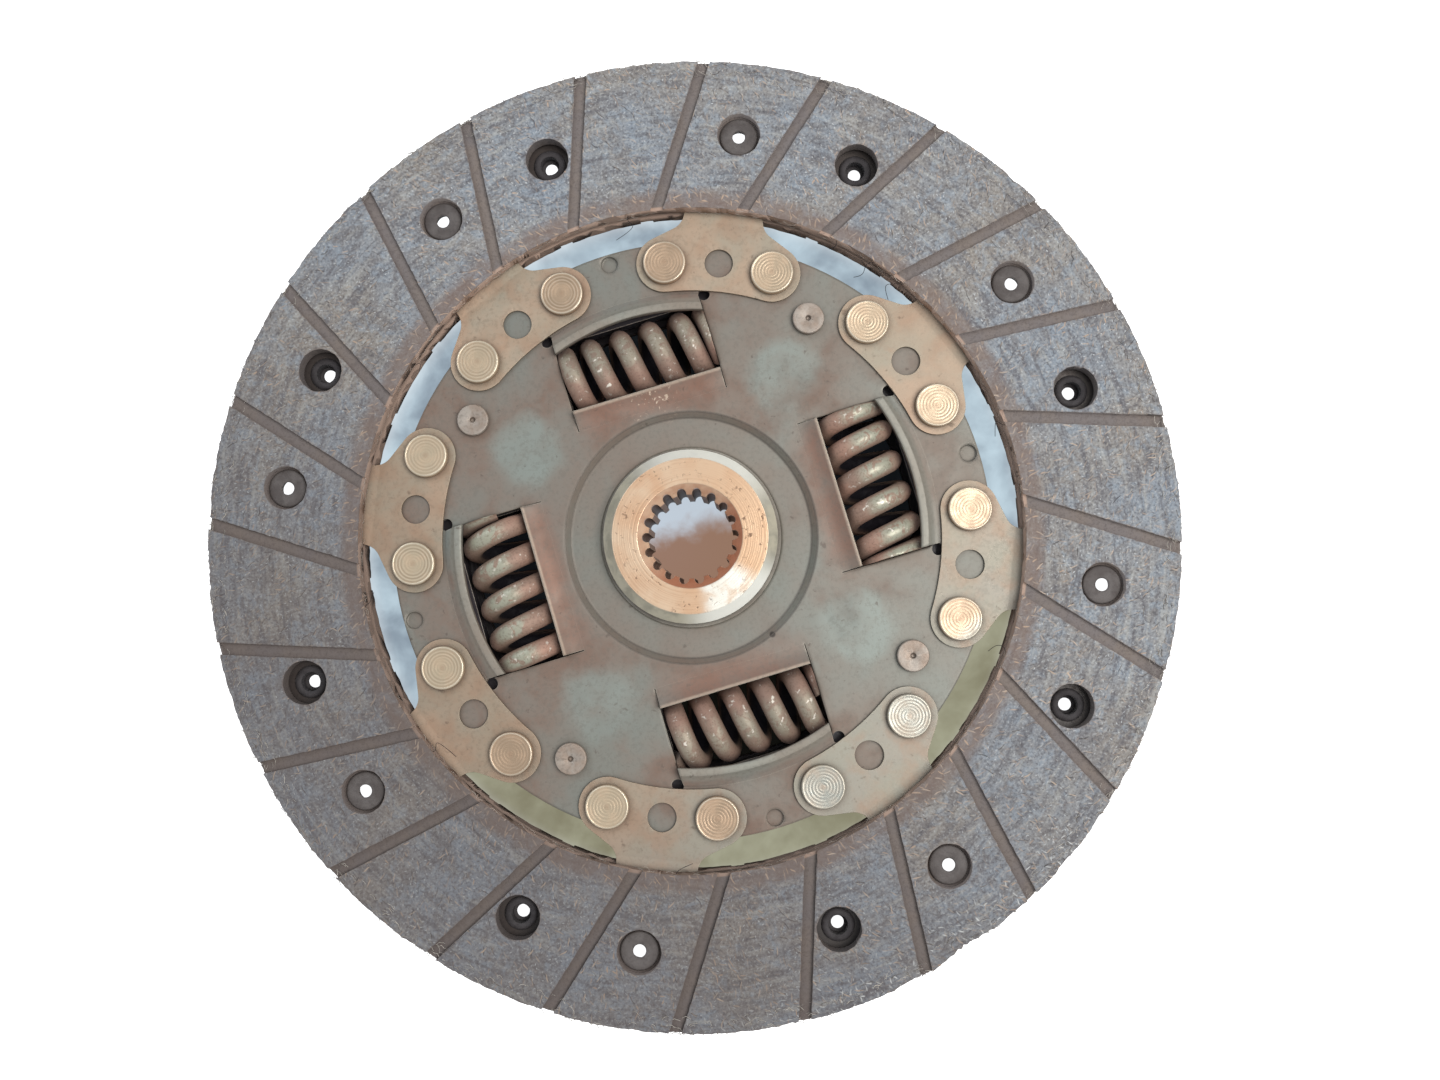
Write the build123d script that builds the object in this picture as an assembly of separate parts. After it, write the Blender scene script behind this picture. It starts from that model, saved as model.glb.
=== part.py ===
"""Clutch disc of a small car: sprung hub, two drive plates, cushion segments and grooved facings.

Origin: on the axis of the splined bore, in the middle plane between the two friction faces.
+Z runs along the axis towards the flywheel side (the front), +X through a spring window.
Millimetres and degrees.
"""

from build123d import *
from math import asin, cos, degrees, hypot, pi, radians, sin, sqrt, tan
import os

# Facings: two equal friction rings, the rear one turned over.
FACING_OUTER_R = 100.0
FACING_T = 3.2
FACING_LAP = 2.4  # facing inside the inner edge of the leaves' paddles
GROOVE_COUNT = 24
GROOVE_W = 2.5
GROOVE_DEPTH = 1.0
GROOVE_TANGENT_R = 27.0  # every groove's line touches a circle of this radius
GROOVE_PHASE = 11.65  # angle at which a groove leaves the outer edge
FACING_RIVET_OFFSET = 0.3  # rivet circle outside the middle of the facing's width
HEAD_HOLE_ANGLE = 21.4  # rivet heads of the front facing
TAIL_HOLE_ANGLE = 4.1  # rivet tails of the rear facing
RIVET_POCKET_R = 4.5
RIVET_POCKET_DEPTH = 2.0

# Tubular rivets that hold the facings.
TUBE_RIVET_SHANK_R = 2.4
TUBE_RIVET_BORE_R = 1.3
TUBE_RIVET_HEAD_R = 4.0
TUBE_RIVET_HEAD_T = 0.6
TUBE_RIVET_TAIL_R = 3.4
TUBE_RIVET_TAIL_T = 0.7

# Cushion segments: waved spring-steel leaves between the facings.
SEGMENT_COUNT = 8
SEGMENT_PHASE = 22.5
SEGMENT_T = 0.7
WAVE_HEIGHT = 0.9
HIGH_PAD_HALF_W = 11.0
WAVE_RAMP_W = 8.0
NECK_HALF_W = 8.4
NECK_LENGTH = 2.4
NECK_ROOT_FILLET = 3.9
PADDLE_EDGE_INSET = 1.5  # leaf's outer edge inside the facing's
PADDLE_GAP = 1.2
PADDLE_FILLET = 2.0
SHOULDER_ANGLE = 58.0
JOGGLE_INSET = 1.0  # end of the joggle inside the paddle's inner edge
JOGGLE_LENGTH = 3.6
PEEP_HOLE_R = 3.0

# Solid rivets that hold the segments on the carrier plate, two for each segment.
SEGMENT_RIVET_HALF_PITCH = 11.3
SEGMENT_CORNER_R = 6.0
SEGMENT_FOOT_MARGIN = 0.4  # foot outside the window lips
SEGMENT_RIVET_SHANK_R = 2.6
SEGMENT_RIVET_HEAD_R = 4.5
SEGMENT_RIVET_HEAD_T = 1.5
SEGMENT_RIVET_EDGE = 0.35

# Drive plates: the carrier plate in front of the hub flange, the retainer plate behind it.
PLATE_T = 1.8
RETAINER_EDGE_W = 1.6  # metal outside the pins' holes
RECESS_FLAT_R = 25.2
RECESS_DEPTH = 1.2
DIMPLE_EDGE_W = 0.4  # metal outside the dimples
DIMPLE_R = 1.8
DIMPLE_DEPTH = 0.7

# Windows for the damper springs, in both plates and the hub flange.
WINDOW_COUNT = 4
WINDOW_HALF_L = 16.3
LIP_SIDE_GAP = 0.2
LIP_RECESS_MARGIN = 1.6  # inner lip's foot outside the recess
INNER_LIP_REACH = 4.2
INNER_LIP_RISE = 1.9
INNER_LIP_LAP = 1.3  # inner lip over the spring
OUTER_LIP_GAP = 0.1  # between the outer lip's tip and the spring
OUTER_LIP_RIM_W = 1.4
OUTER_LIP_RISE = 2.6
OUTER_LIP_SLOPE_W = 2.6
RELIEF_HOLE_R = 1.3
RELIEF_HOLE_OUT = 1.0  # hole centre beyond the window's side
RELIEF_HOLE_IN = 0.2  # hole centre inside the foot of the outer lip

# Damper springs, right-hand wound with closed and ground ends.
SPRING_OUTER_R = 8.3
WIRE_R = 2.2
SPRING_END_GAP = 0.15
ACTIVE_TURNS = 3.8
COIL_STEPS = 14
WIRE_SIDES = 8
CLOSED_COIL_GAP = 0.1
GROUND_TIP_SHARE = 0.25  # wire left at the ground tip

# Stop pins: shouldered spacers between the plates, which limit the twist.
PIN_PHASE = 45.0
PIN_BODY_R = 4.2
PIN_NECK_R = 2.4
PIN_HEAD_R = 3.3
PIN_HEAD_T = 1.4
PIN_CENTRE_MARK_R = 0.5
PIN_CENTRE_MARK_DEPTH = 0.8
TWIST_LIMIT = 7.0

# Hub.
HUB_LENGTH = 20.0
HUB_SETBACK = 0.5  # front end below the front friction face
HUB_FRONT_R = 18.1
HUB_REAR_R = 17.0
HUB_FRONT_CHAMFER = 2.0
HUB_REAR_CHAMFER = 1.0
FLANGE_T = 3.6
FLANGE_RIM_W = 5.4  # flange outside its spring windows
FLANGE_WINDOW_CLEARANCE = 0.3
PIN_NOTCH_CLEARANCE = 0.15
SPLINE_TEETH = 18
SPLINE_MAJOR_R = 10.0
SPLINE_DEPTH = 1.3
SPLINE_SPACE_W = 1.9
SPLINE_PHASE = 5.15
BORE_CHAMFER_W = 0.9  # chamfer outside the spline spaces

# Friction pack around the hub.
BUSH_WALL = 0.7
BUSH_FLANGE_T = 0.8
FRICTION_RIM_GAP = 0.8  # friction rings inside the recess
FRICTION_WASHER_T = 0.9
SUPPORT_WASHER_T = 0.6
DISC_SPRING_T = 0.7
DISC_SPRING_RIM_GAP = 0.5  # disc spring inside the tabs' slots
TAB_COUNT = 4
TAB_PHASE = 45.0
TAB_W = 5.0
TAB_T = 1.0
TAB_INSET = 0.3  # tabs inside the washer's edge
TAB_PROUD = 0.6

# Fits.
RUN_GAP = 0.05
SLOT_GAP = 0.2

# Radii that follow from the sizes above, from the hub outwards.
SPLINE_MINOR_R = SPLINE_MAJOR_R - SPLINE_DEPTH
BORE_CHAMFER_R = SPLINE_MAJOR_R + BORE_CHAMFER_W
FRICTION_OUTER_R = RECESS_FLAT_R - FRICTION_RIM_GAP
TAB_MID_R = FRICTION_OUTER_R - TAB_INSET - TAB_T / 2
DISC_SPRING_OUTER_R = TAB_MID_R - TAB_T / 2 - SLOT_GAP - DISC_SPRING_RIM_GAP
RECESS_RIM_R = RECESS_FLAT_R + RECESS_DEPTH
INNER_LIP_FOOT_R = RECESS_RIM_R + LIP_RECESS_MARGIN
INNER_LIP_TIP_R = INNER_LIP_FOOT_R + INNER_LIP_REACH
SPRING_PCR = INNER_LIP_TIP_R - INNER_LIP_LAP + SPRING_OUTER_R
FLANGE_R = SPRING_PCR + SPRING_OUTER_R + FLANGE_WINDOW_CLEARANCE + FLANGE_RIM_W
OUTER_LIP_TIP_R = SPRING_PCR + SPRING_OUTER_R + OUTER_LIP_GAP
OUTER_LIP_RIM_R = OUTER_LIP_TIP_R + OUTER_LIP_RIM_W
OUTER_LIP_FOOT_R = OUTER_LIP_RIM_R + OUTER_LIP_SLOPE_W
PIN_PCR = OUTER_LIP_FOOT_R + SEGMENT_FOOT_MARGIN
RETAINER_OUTER_R = PIN_PCR + PIN_NECK_R + RETAINER_EDGE_W
SEGMENT_RIVET_PCR = PIN_PCR + SEGMENT_CORNER_R
CARRIER_OUTER_R = SEGMENT_RIVET_PCR + SEGMENT_RIVET_HEAD_R
DIMPLE_PCR = CARRIER_OUTER_R - DIMPLE_EDGE_W - DIMPLE_R

# A leaf's shoulder leaves the round corner at its rivet and runs in to the root of its neck.
RIVET_X = SEGMENT_RIVET_PCR * cos(radians(SEGMENT_RIVET_HALF_PITCH))
RIVET_Y = SEGMENT_RIVET_PCR * sin(radians(SEGMENT_RIVET_HALF_PITCH))
SHOULDER_X = RIVET_X + SEGMENT_CORNER_R * sin(radians(SHOULDER_ANGLE))
SHOULDER_Y = RIVET_Y + SEGMENT_CORNER_R * cos(radians(SHOULDER_ANGLE))
NECK_ROOT_X = SHOULDER_X + (SHOULDER_Y - NECK_HALF_W) / tan(radians(SHOULDER_ANGLE))
NECK_END_X = NECK_ROOT_X + NECK_LENGTH
PADDLE_INNER_R = hypot(NECK_END_X, NECK_HALF_W + PADDLE_FILLET) + PADDLE_FILLET
JOGGLE_END_R = PADDLE_INNER_R - JOGGLE_INSET
JOGGLE_START_R = JOGGLE_END_R - JOGGLE_LENGTH
FACING_INNER_R = PADDLE_INNER_R - FACING_LAP
FACING_RIVET_PCR = (FACING_INNER_R + FACING_OUTER_R) / 2 + FACING_RIVET_OFFSET
PADDLE_OUTER_R = FACING_OUTER_R - PADDLE_EDGE_INSET

# Levels along the axis that follow from the sizes above.
CUSHION = SEGMENT_T + WAVE_HEIGHT
FRONT_FACE_Z = CUSHION / 2 + FACING_T
CARRIER_FRONT_Z = -SEGMENT_T / 2
CARRIER_REAR_Z = CARRIER_FRONT_Z - PLATE_T
RECESS_REAR_Z = CARRIER_REAR_Z - RECESS_DEPTH
FLANGE_FRONT_Z = RECESS_REAR_Z - BUSH_FLANGE_T - RUN_GAP
FLANGE_REAR_Z = FLANGE_FRONT_Z - FLANGE_T
FLANGE_MID_Z = (FLANGE_FRONT_Z + FLANGE_REAR_Z) / 2
RETAINER_FRONT_Z = 2 * FLANGE_MID_Z - CARRIER_REAR_Z
RETAINER_REAR_Z = RETAINER_FRONT_Z - PLATE_T
HUB_FRONT_Z = FRONT_FACE_Z - HUB_SETBACK
HUB_REAR_Z = HUB_FRONT_Z - HUB_LENGTH
FRICTION_WASHER_FRONT_Z = FLANGE_REAR_Z - RUN_GAP
SUPPORT_WASHER_FRONT_Z = FRICTION_WASHER_FRONT_Z - FRICTION_WASHER_T
DISC_SPRING_FRONT_Z = SUPPORT_WASHER_FRONT_Z - SUPPORT_WASHER_T
RETAINER_RECESS_Z = RETAINER_FRONT_Z - RECESS_DEPTH

THROUGH = 60.0  # longer than any stack that a cutter passes through


def polar(radius, angle):
    return Vector(radius * cos(radians(angle)), radius * sin(radians(angle)))


def ring_of(piece, count, phase=0.0):
    """Copies of a piece around the axis, the first at the phase angle."""
    return [Rot(Z=phase + k * 360 / count) * piece for k in range(count)]


def turned(points):
    """A solid of revolution from (radius, z) points."""
    return revolve(Plane.XZ * make_face(Polyline(*points, close=True)), Axis.Z)


def tube(inner_r, outer_r, low_z, high_z):
    return turned([(inner_r, low_z), (outer_r, low_z), (outer_r, high_z), (inner_r, high_z)])


def drill(radius, at, low_z=-THROUGH / 2, high_z=THROUGH / 2):
    height = high_z - low_z
    return Pos(at.X, at.Y, low_z) * Cylinder(
        radius, height, align=(Align.CENTER, Align.CENTER, Align.MIN)
    )


def block(x_range, y_range, z_range):
    """A box between the given limits."""
    sizes = [high - low for low, high in (x_range, y_range, z_range)]
    corner = Pos(x_range[0], y_range[0], z_range[0])
    return corner * Box(*sizes, align=(Align.MIN, Align.MIN, Align.MIN))


def prism_across(points, half_width):
    """Extrudes an (x, z) outline along Y, to the same distance both ways."""
    return extrude(Plane.XZ * make_face(Polyline(*points, close=True)), half_width, both=True)


# ---------------------------------------------------------------- facings


def facing():
    """One friction ring, its back on z = 0 and its grooved face up."""
    ring = tube(FACING_INNER_R, FACING_OUTER_R, 0, FACING_T)
    slant = degrees(asin(GROOVE_TANGENT_R / FACING_OUTER_R))
    length = FACING_OUTER_R * 2
    groove = block(
        (-length / 2, length / 4),
        (-GROOVE_W / 2, GROOVE_W / 2),
        (FACING_T - GROOVE_DEPTH, FACING_T + 1),
    )
    groove = Pos(FACING_OUTER_R, 0, 0) * Rot(Z=-slant) * groove
    # The far side of the ring is out of the cutter's reach.
    grooves = ring_of(groove, GROOVE_COUNT, GROOVE_PHASE)
    seat_z = FACING_T - RIVET_POCKET_DEPTH
    head_at = polar(FACING_RIVET_PCR, HEAD_HOLE_ANGLE)
    tail_at = polar(FACING_RIVET_PCR, TAIL_HOLE_ANGLE)
    pocket = drill(RIVET_POCKET_R, head_at, seat_z)
    shank_hole = drill(TUBE_RIVET_SHANK_R + RUN_GAP, head_at)
    tail_hole = drill(RIVET_POCKET_R, tail_at)
    holes = ring_of(pocket + shank_hole, SEGMENT_COUNT) + ring_of(tail_hole, SEGMENT_COUNT)
    return ring - grooves - holes


def turned_over(piece):
    """Turns a front-side piece over, so that its head holes meet the tail holes of the other side."""
    axis_angle = (HEAD_HOLE_ANGLE + TAIL_HOLE_ANGLE) / 2
    return Rot(Z=axis_angle) * Rot(X=180) * Rot(Z=-axis_angle) * piece


def facing_rivets():
    """The tubular rivets of the front facing: head on the pocket's seat, tail behind the leaf."""
    seat_z = FRONT_FACE_Z - RIVET_POCKET_DEPTH
    leaf_back_z = CUSHION / 2 - SEGMENT_T
    rivet = turned(
        [
            (TUBE_RIVET_BORE_R, seat_z + TUBE_RIVET_HEAD_T),
            (TUBE_RIVET_HEAD_R, seat_z + TUBE_RIVET_HEAD_T),
            (TUBE_RIVET_HEAD_R, seat_z),
            (TUBE_RIVET_SHANK_R, seat_z),
            (TUBE_RIVET_SHANK_R, leaf_back_z),
            (TUBE_RIVET_TAIL_R, leaf_back_z),
            (TUBE_RIVET_SHANK_R, leaf_back_z - TUBE_RIVET_TAIL_T),
            (TUBE_RIVET_BORE_R, leaf_back_z - TUBE_RIVET_TAIL_T),
        ]
    )
    at = polar(FACING_RIVET_PCR, HEAD_HOLE_ANGLE)
    return ring_of(Pos(at.X, at.Y) * rivet, SEGMENT_COUNT)


# ---------------------------------------------------------------- cushion segments


def segment_outline():
    """Flat outline of one leaf, its centre line on +X: riveted foot, neck and broad paddle."""
    inner_r = SEGMENT_RIVET_PCR - SEGMENT_CORNER_R
    corner_start = polar(inner_r, SEGMENT_RIVET_HALF_PITCH)
    corner_side = Vector(RIVET_X, RIVET_Y + SEGMENT_CORNER_R)
    shoulder = Vector(SHOULDER_X, SHOULDER_Y)
    neck_root = Vector(NECK_ROOT_X, NECK_HALF_W)
    neck_end = Vector(NECK_END_X, NECK_HALF_W)

    fillet_centre = neck_end + Vector(0, PADDLE_FILLET)
    paddle_start = fillet_centre * (PADDLE_INNER_R / (PADDLE_INNER_R - PADDLE_FILLET))
    outward = (paddle_start - fillet_centre).normalized() + Vector(0, -1)
    fillet_mid = fillet_centre + outward.normalized() * PADDLE_FILLET

    side_angle = 180 / SEGMENT_COUNT
    gap_angle_in = degrees(asin(PADDLE_GAP / 2 / PADDLE_INNER_R))
    gap_angle_out = degrees(asin(PADDLE_GAP / 2 / PADDLE_OUTER_R))
    side_in = polar(PADDLE_INNER_R, side_angle - gap_angle_in)
    side_out = polar(PADDLE_OUTER_R, side_angle - gap_angle_out)
    start_angle = degrees(asin(paddle_start.Y / PADDLE_INNER_R))
    inner_mid = polar(PADDLE_INNER_R, (start_angle + side_angle) / 2)

    half = make_face(
        [
            ThreePointArc((inner_r, 0), polar(inner_r, SEGMENT_RIVET_HALF_PITCH / 2), corner_start),
            ThreePointArc(corner_start, corner_side, shoulder),
            FilletPolyline(shoulder, neck_root, neck_end, radius=NECK_ROOT_FILLET),
            ThreePointArc(neck_end, fillet_mid, paddle_start),
            ThreePointArc(paddle_start, inner_mid, side_in),
            Line(side_in, side_out),
            ThreePointArc(side_out, polar(PADDLE_OUTER_R, side_angle / 2), (PADDLE_OUTER_R, 0)),
            Line((PADDLE_OUTER_R, 0), (inner_r, 0)),
        ]
    )
    corners = half.vertices().filter_by(lambda v: v.Y > side_in.Y - RUN_GAP)
    half = fillet(corners, PADDLE_FILLET)
    return half + mirror(half, Plane.XZ)


def cushion_segment():
    """One waved leaf: its middle pad lies against the front facing, its side pads against the rear one."""
    half_t = SEGMENT_T / 2
    lift = WAVE_HEIGHT / 2
    foot_r = SEGMENT_RIVET_PCR - 2 * SEGMENT_CORNER_R
    foot_end_r = JOGGLE_START_R - WAVE_HEIGHT
    spine = prism_across(
        [
            (foot_r, -half_t),
            (JOGGLE_START_R, -half_t),
            (JOGGLE_END_R, lift - half_t),
            (JOGGLE_END_R, lift + half_t),
            (JOGGLE_START_R, half_t),
            (foot_r, half_t),
        ],
        HIGH_PAD_HALF_W,
    )
    foot_half_w = RIVET_Y + 2 * SEGMENT_CORNER_R
    foot = block((foot_r, foot_end_r), (-foot_half_w, foot_half_w), (-half_t, half_t))
    low_y = HIGH_PAD_HALF_W + WAVE_RAMP_W
    top = [
        (-FACING_OUTER_R, -lift),
        (-low_y, -lift),
        (-HIGH_PAD_HALF_W, lift),
        (HIGH_PAD_HALF_W, lift),
        (low_y, -lift),
        (FACING_OUTER_R, -lift),
    ]
    section = [(y, z + half_t) for y, z in top] + [(y, z - half_t) for y, z in reversed(top)]
    wave = extrude(Plane.YZ * make_face(Polyline(*section, close=True)), FACING_OUTER_R)
    wave &= block((foot_end_r, FACING_OUTER_R), (-FACING_OUTER_R, FACING_OUTER_R), (-CUSHION, CUSHION))
    wave -= block((0, JOGGLE_END_R), (-HIGH_PAD_HALF_W, HIGH_PAD_HALF_W), (-CUSHION, CUSHION))
    blank = extrude(segment_outline(), CUSHION, both=True)
    leaf = (spine + foot + wave) & blank

    rivet_hole = SEGMENT_RIVET_SHANK_R + RUN_GAP
    for side in (-1, 1):
        leaf -= drill(rivet_hole, polar(SEGMENT_RIVET_PCR, side * SEGMENT_RIVET_HALF_PITCH))
    leaf -= drill(PEEP_HOLE_R, Vector(SEGMENT_RIVET_PCR, 0))
    for angle in (HEAD_HOLE_ANGLE, TAIL_HOLE_ANGLE):
        leaf -= drill(TUBE_RIVET_SHANK_R + RUN_GAP, polar(FACING_RIVET_PCR, angle - SEGMENT_PHASE))
    return leaf


def segment_rivets():
    """Sixteen solid rivets, formed in front of the leaves and headed behind the carrier plate."""
    front, rear = SEGMENT_T / 2, CARRIER_REAR_Z
    top, bottom = front + SEGMENT_RIVET_HEAD_T, rear - SEGMENT_RIVET_HEAD_T
    edge_r = SEGMENT_RIVET_HEAD_R - SEGMENT_RIVET_EDGE
    rivet = turned(
        [
            (0, top),
            (edge_r, top),
            (SEGMENT_RIVET_HEAD_R, top - SEGMENT_RIVET_EDGE),
            (SEGMENT_RIVET_HEAD_R, front),
            (SEGMENT_RIVET_SHANK_R, front),
            (SEGMENT_RIVET_SHANK_R, rear),
            (SEGMENT_RIVET_HEAD_R, rear),
            (edge_r, bottom),
            (0, bottom),
        ]
    )
    rivets = []
    for side in (-1, 1):
        at = polar(SEGMENT_RIVET_PCR, side * SEGMENT_RIVET_HALF_PITCH)
        rivets += ring_of(Pos(at.X, at.Y) * rivet, SEGMENT_COUNT, SEGMENT_PHASE)
    return rivets


# ---------------------------------------------------------------- drive plates


def window_pocket():
    """What is cut from a plate for one spring window, between the feet of its two lips."""
    sides = block((INNER_LIP_FOOT_R, FACING_INNER_R), (-WINDOW_HALF_L, WINDOW_HALF_L), (-THROUGH, THROUGH))
    pocket = sides & Cylinder(OUTER_LIP_FOOT_R, 2 * THROUGH)
    hole_y = WINDOW_HALF_L + RELIEF_HOLE_OUT
    hole_x = sqrt((OUTER_LIP_FOOT_R - RELIEF_HOLE_IN) ** 2 - hole_y**2)
    for side in (-1, 1):
        pocket += drill(RELIEF_HOLE_R, Vector(hole_x, side * hole_y), -THROUGH, THROUGH)
    return pocket


def window_lips():
    """The straight inner lip and the arched outer lip of one window, raised to hold the spring in."""
    half_l = WINDOW_HALF_L - LIP_SIDE_GAP
    inner = prism_across(
        [
            (INNER_LIP_FOOT_R, 0),
            (INNER_LIP_TIP_R, INNER_LIP_RISE),
            (INNER_LIP_TIP_R, INNER_LIP_RISE + PLATE_T),
            (INNER_LIP_FOOT_R, PLATE_T),
        ],
        half_l,
    )
    arch = turned(
        [
            (OUTER_LIP_FOOT_R, 0),
            (OUTER_LIP_RIM_R, OUTER_LIP_RISE),
            (OUTER_LIP_TIP_R, OUTER_LIP_RISE),
            (OUTER_LIP_TIP_R, OUTER_LIP_RISE + PLATE_T),
            (OUTER_LIP_RIM_R, OUTER_LIP_RISE + PLATE_T),
            (OUTER_LIP_FOOT_R, PLATE_T),
        ]
    )
    arch &= block((0, FACING_INNER_R), (-half_l, half_l), (-THROUGH, THROUGH))
    return inner + arch


def drive_plate(outer_r, bore_r, recess):
    """A pressed plate, its flange side on z = 0 and its lips up, its middle pressed up by the recess."""
    plate = turned(
        [
            (bore_r, recess),
            (RECESS_FLAT_R, recess),
            (RECESS_RIM_R, 0),
            (outer_r, 0),
            (outer_r, PLATE_T),
            (RECESS_RIM_R, PLATE_T),
            (RECESS_FLAT_R, PLATE_T + recess),
            (bore_r, PLATE_T + recess),
        ]
    )
    plate -= ring_of(window_pocket(), WINDOW_COUNT)
    plate -= ring_of(drill(PIN_NECK_R + RUN_GAP, Vector(PIN_PCR, 0)), WINDOW_COUNT, PIN_PHASE)
    for lips in ring_of(window_lips(), WINDOW_COUNT):
        plate += lips
    return plate


def carrier_plate():
    """The front plate, which carries the cushion segments."""
    bore_r = HUB_FRONT_R + RUN_GAP + BUSH_WALL + RUN_GAP
    plate = drive_plate(CARRIER_OUTER_R, bore_r, -RECESS_DEPTH)
    for side in (-1, 1):
        at = polar(SEGMENT_RIVET_PCR, side * SEGMENT_RIVET_HALF_PITCH)
        plate -= ring_of(drill(SEGMENT_RIVET_SHANK_R + RUN_GAP, at), SEGMENT_COUNT, SEGMENT_PHASE)
    dimple = drill(DIMPLE_R, Vector(DIMPLE_PCR, 0), PLATE_T - DIMPLE_DEPTH)
    plate -= ring_of(dimple, WINDOW_COUNT)
    return Pos(0, 0, CARRIER_REAR_Z) * plate


def retainer_plate():
    """The rear plate, slotted for the tabs of the support washer."""
    plate = drive_plate(RETAINER_OUTER_R, HUB_REAR_R + 2 * SLOT_GAP, RECESS_DEPTH)
    slot_half_w = TAB_W / 2 + SLOT_GAP
    slot_half_t = TAB_T / 2 + SLOT_GAP
    slot = block(
        (TAB_MID_R - slot_half_t, TAB_MID_R + slot_half_t),
        (-slot_half_w, slot_half_w),
        (-THROUGH, THROUGH),
    )
    plate -= ring_of(slot, TAB_COUNT, TAB_PHASE)
    return Pos(0, 0, RETAINER_FRONT_Z) * Rot(X=180) * plate


def stop_pins():
    """Shouldered pins riveted over both plates, with a centre mark in the front head."""
    front_z, rear_z = CARRIER_FRONT_Z + PIN_HEAD_T, RETAINER_REAR_Z - PIN_HEAD_T
    pin = turned(
        [
            (PIN_CENTRE_MARK_R, front_z),
            (PIN_HEAD_R, front_z),
            (PIN_HEAD_R, CARRIER_FRONT_Z),
            (PIN_NECK_R, CARRIER_FRONT_Z),
            (PIN_NECK_R, CARRIER_REAR_Z),
            (PIN_BODY_R, CARRIER_REAR_Z),
            (PIN_BODY_R, RETAINER_FRONT_Z),
            (PIN_NECK_R, RETAINER_FRONT_Z),
            (PIN_NECK_R, RETAINER_REAR_Z),
            (PIN_HEAD_R, RETAINER_REAR_Z),
            (PIN_HEAD_R, rear_z),
            (0, rear_z),
            (0, front_z - PIN_CENTRE_MARK_DEPTH),
            (PIN_CENTRE_MARK_R, front_z - PIN_CENTRE_MARK_DEPTH),
        ]
    )
    return ring_of(Pos(PIN_PCR, 0) * pin, WINDOW_COUNT, PIN_PHASE)


# ---------------------------------------------------------------- hub


def spline_spaces():
    """The eighteen round-bottomed spaces between the spline teeth."""
    half_w = SPLINE_SPACE_W / 2
    bottom = drill(half_w, Vector(SPLINE_MAJOR_R - half_w, 0))
    flanks = block((0, SPLINE_MAJOR_R - half_w), (-half_w, half_w), (-THROUGH / 2, THROUGH / 2))
    return ring_of(bottom + flanks, SPLINE_TEETH, SPLINE_PHASE)


def pin_notch():
    """The open notch in which a stop pin travels to each side of its rest place."""
    reach = PIN_BODY_R + PIN_NOTCH_CLEARANCE
    ends = [polar(PIN_PCR, side * TWIST_LIMIT) for side in (-1, 1)]
    notch = drill(reach, ends[0]) + drill(reach, ends[1])
    floor = tube(PIN_PCR - reach, FLANGE_R + reach, -THROUGH / 2, THROUGH / 2)
    wedge = extrude(
        make_face(
            Polyline(
                (0, 0),
                polar(2 * FLANGE_R, -TWIST_LIMIT),
                polar(2 * FLANGE_R, TWIST_LIMIT),
                close=True,
            )
        ),
        THROUGH / 2,
        both=True,
    )
    notch += floor & wedge
    # Straight flanks outwards from both round ends.
    for side in (-1, 1):
        flank = block((PIN_PCR, FLANGE_R + reach), (-reach, reach), (-THROUGH / 2, THROUGH / 2))
        notch += Rot(Z=side * TWIST_LIMIT) * flank
    return notch


def hub():
    """Splined sleeve with its flange, whose windows hold the springs and whose notches clear the pins."""
    body = turned(
        [
            (0, HUB_FRONT_Z),
            (HUB_FRONT_R - HUB_FRONT_CHAMFER, HUB_FRONT_Z),
            (HUB_FRONT_R, HUB_FRONT_Z - HUB_FRONT_CHAMFER),
            (HUB_FRONT_R, FLANGE_FRONT_Z),
            (FLANGE_R, FLANGE_FRONT_Z),
            (FLANGE_R, FLANGE_REAR_Z),
            (HUB_REAR_R, FLANGE_REAR_Z),
            (HUB_REAR_R, HUB_REAR_Z + HUB_REAR_CHAMFER),
            (HUB_REAR_R - HUB_REAR_CHAMFER, HUB_REAR_Z),
            (0, HUB_REAR_Z),
        ]
    )
    window = block(
        (
            SPRING_PCR - SPRING_OUTER_R - FLANGE_WINDOW_CLEARANCE,
            SPRING_PCR + SPRING_OUTER_R + FLANGE_WINDOW_CLEARANCE,
        ),
        (-WINDOW_HALF_L, WINDOW_HALF_L),
        (-THROUGH / 2, THROUGH / 2),
    )
    body -= ring_of(window, WINDOW_COUNT)
    body -= ring_of(pin_notch(), WINDOW_COUNT, PIN_PHASE)
    body -= Cylinder(SPLINE_MINOR_R, THROUGH)
    body -= spline_spaces()
    depth = BORE_CHAMFER_R - SPLINE_MINOR_R
    for end_z, inward in ((HUB_FRONT_Z, -1), (HUB_REAR_Z, 1)):
        depth_z = end_z + inward * depth
        body -= turned([(0, end_z), (BORE_CHAMFER_R, end_z), (SPLINE_MINOR_R, depth_z), (0, depth_z)])
    return body


# ---------------------------------------------------------------- damper springs


def coil_centre(turn, ground_offset, turns, length):
    """Place of the wire's centre along the spring's axis after so many turns, end coils closed."""
    closed_pitch = 2 * WIRE_R + CLOSED_COIL_GAP
    start = -length / 2 + ground_offset
    active_pitch = (-2 * start - 2 * closed_pitch) / (turns - 2)
    if turn < 1:
        return start + closed_pitch * turn
    if turn > turns - 1:
        return -start - closed_pitch * (turns - turn)
    return start + closed_pitch + active_pitch * (turn - 1)


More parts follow.
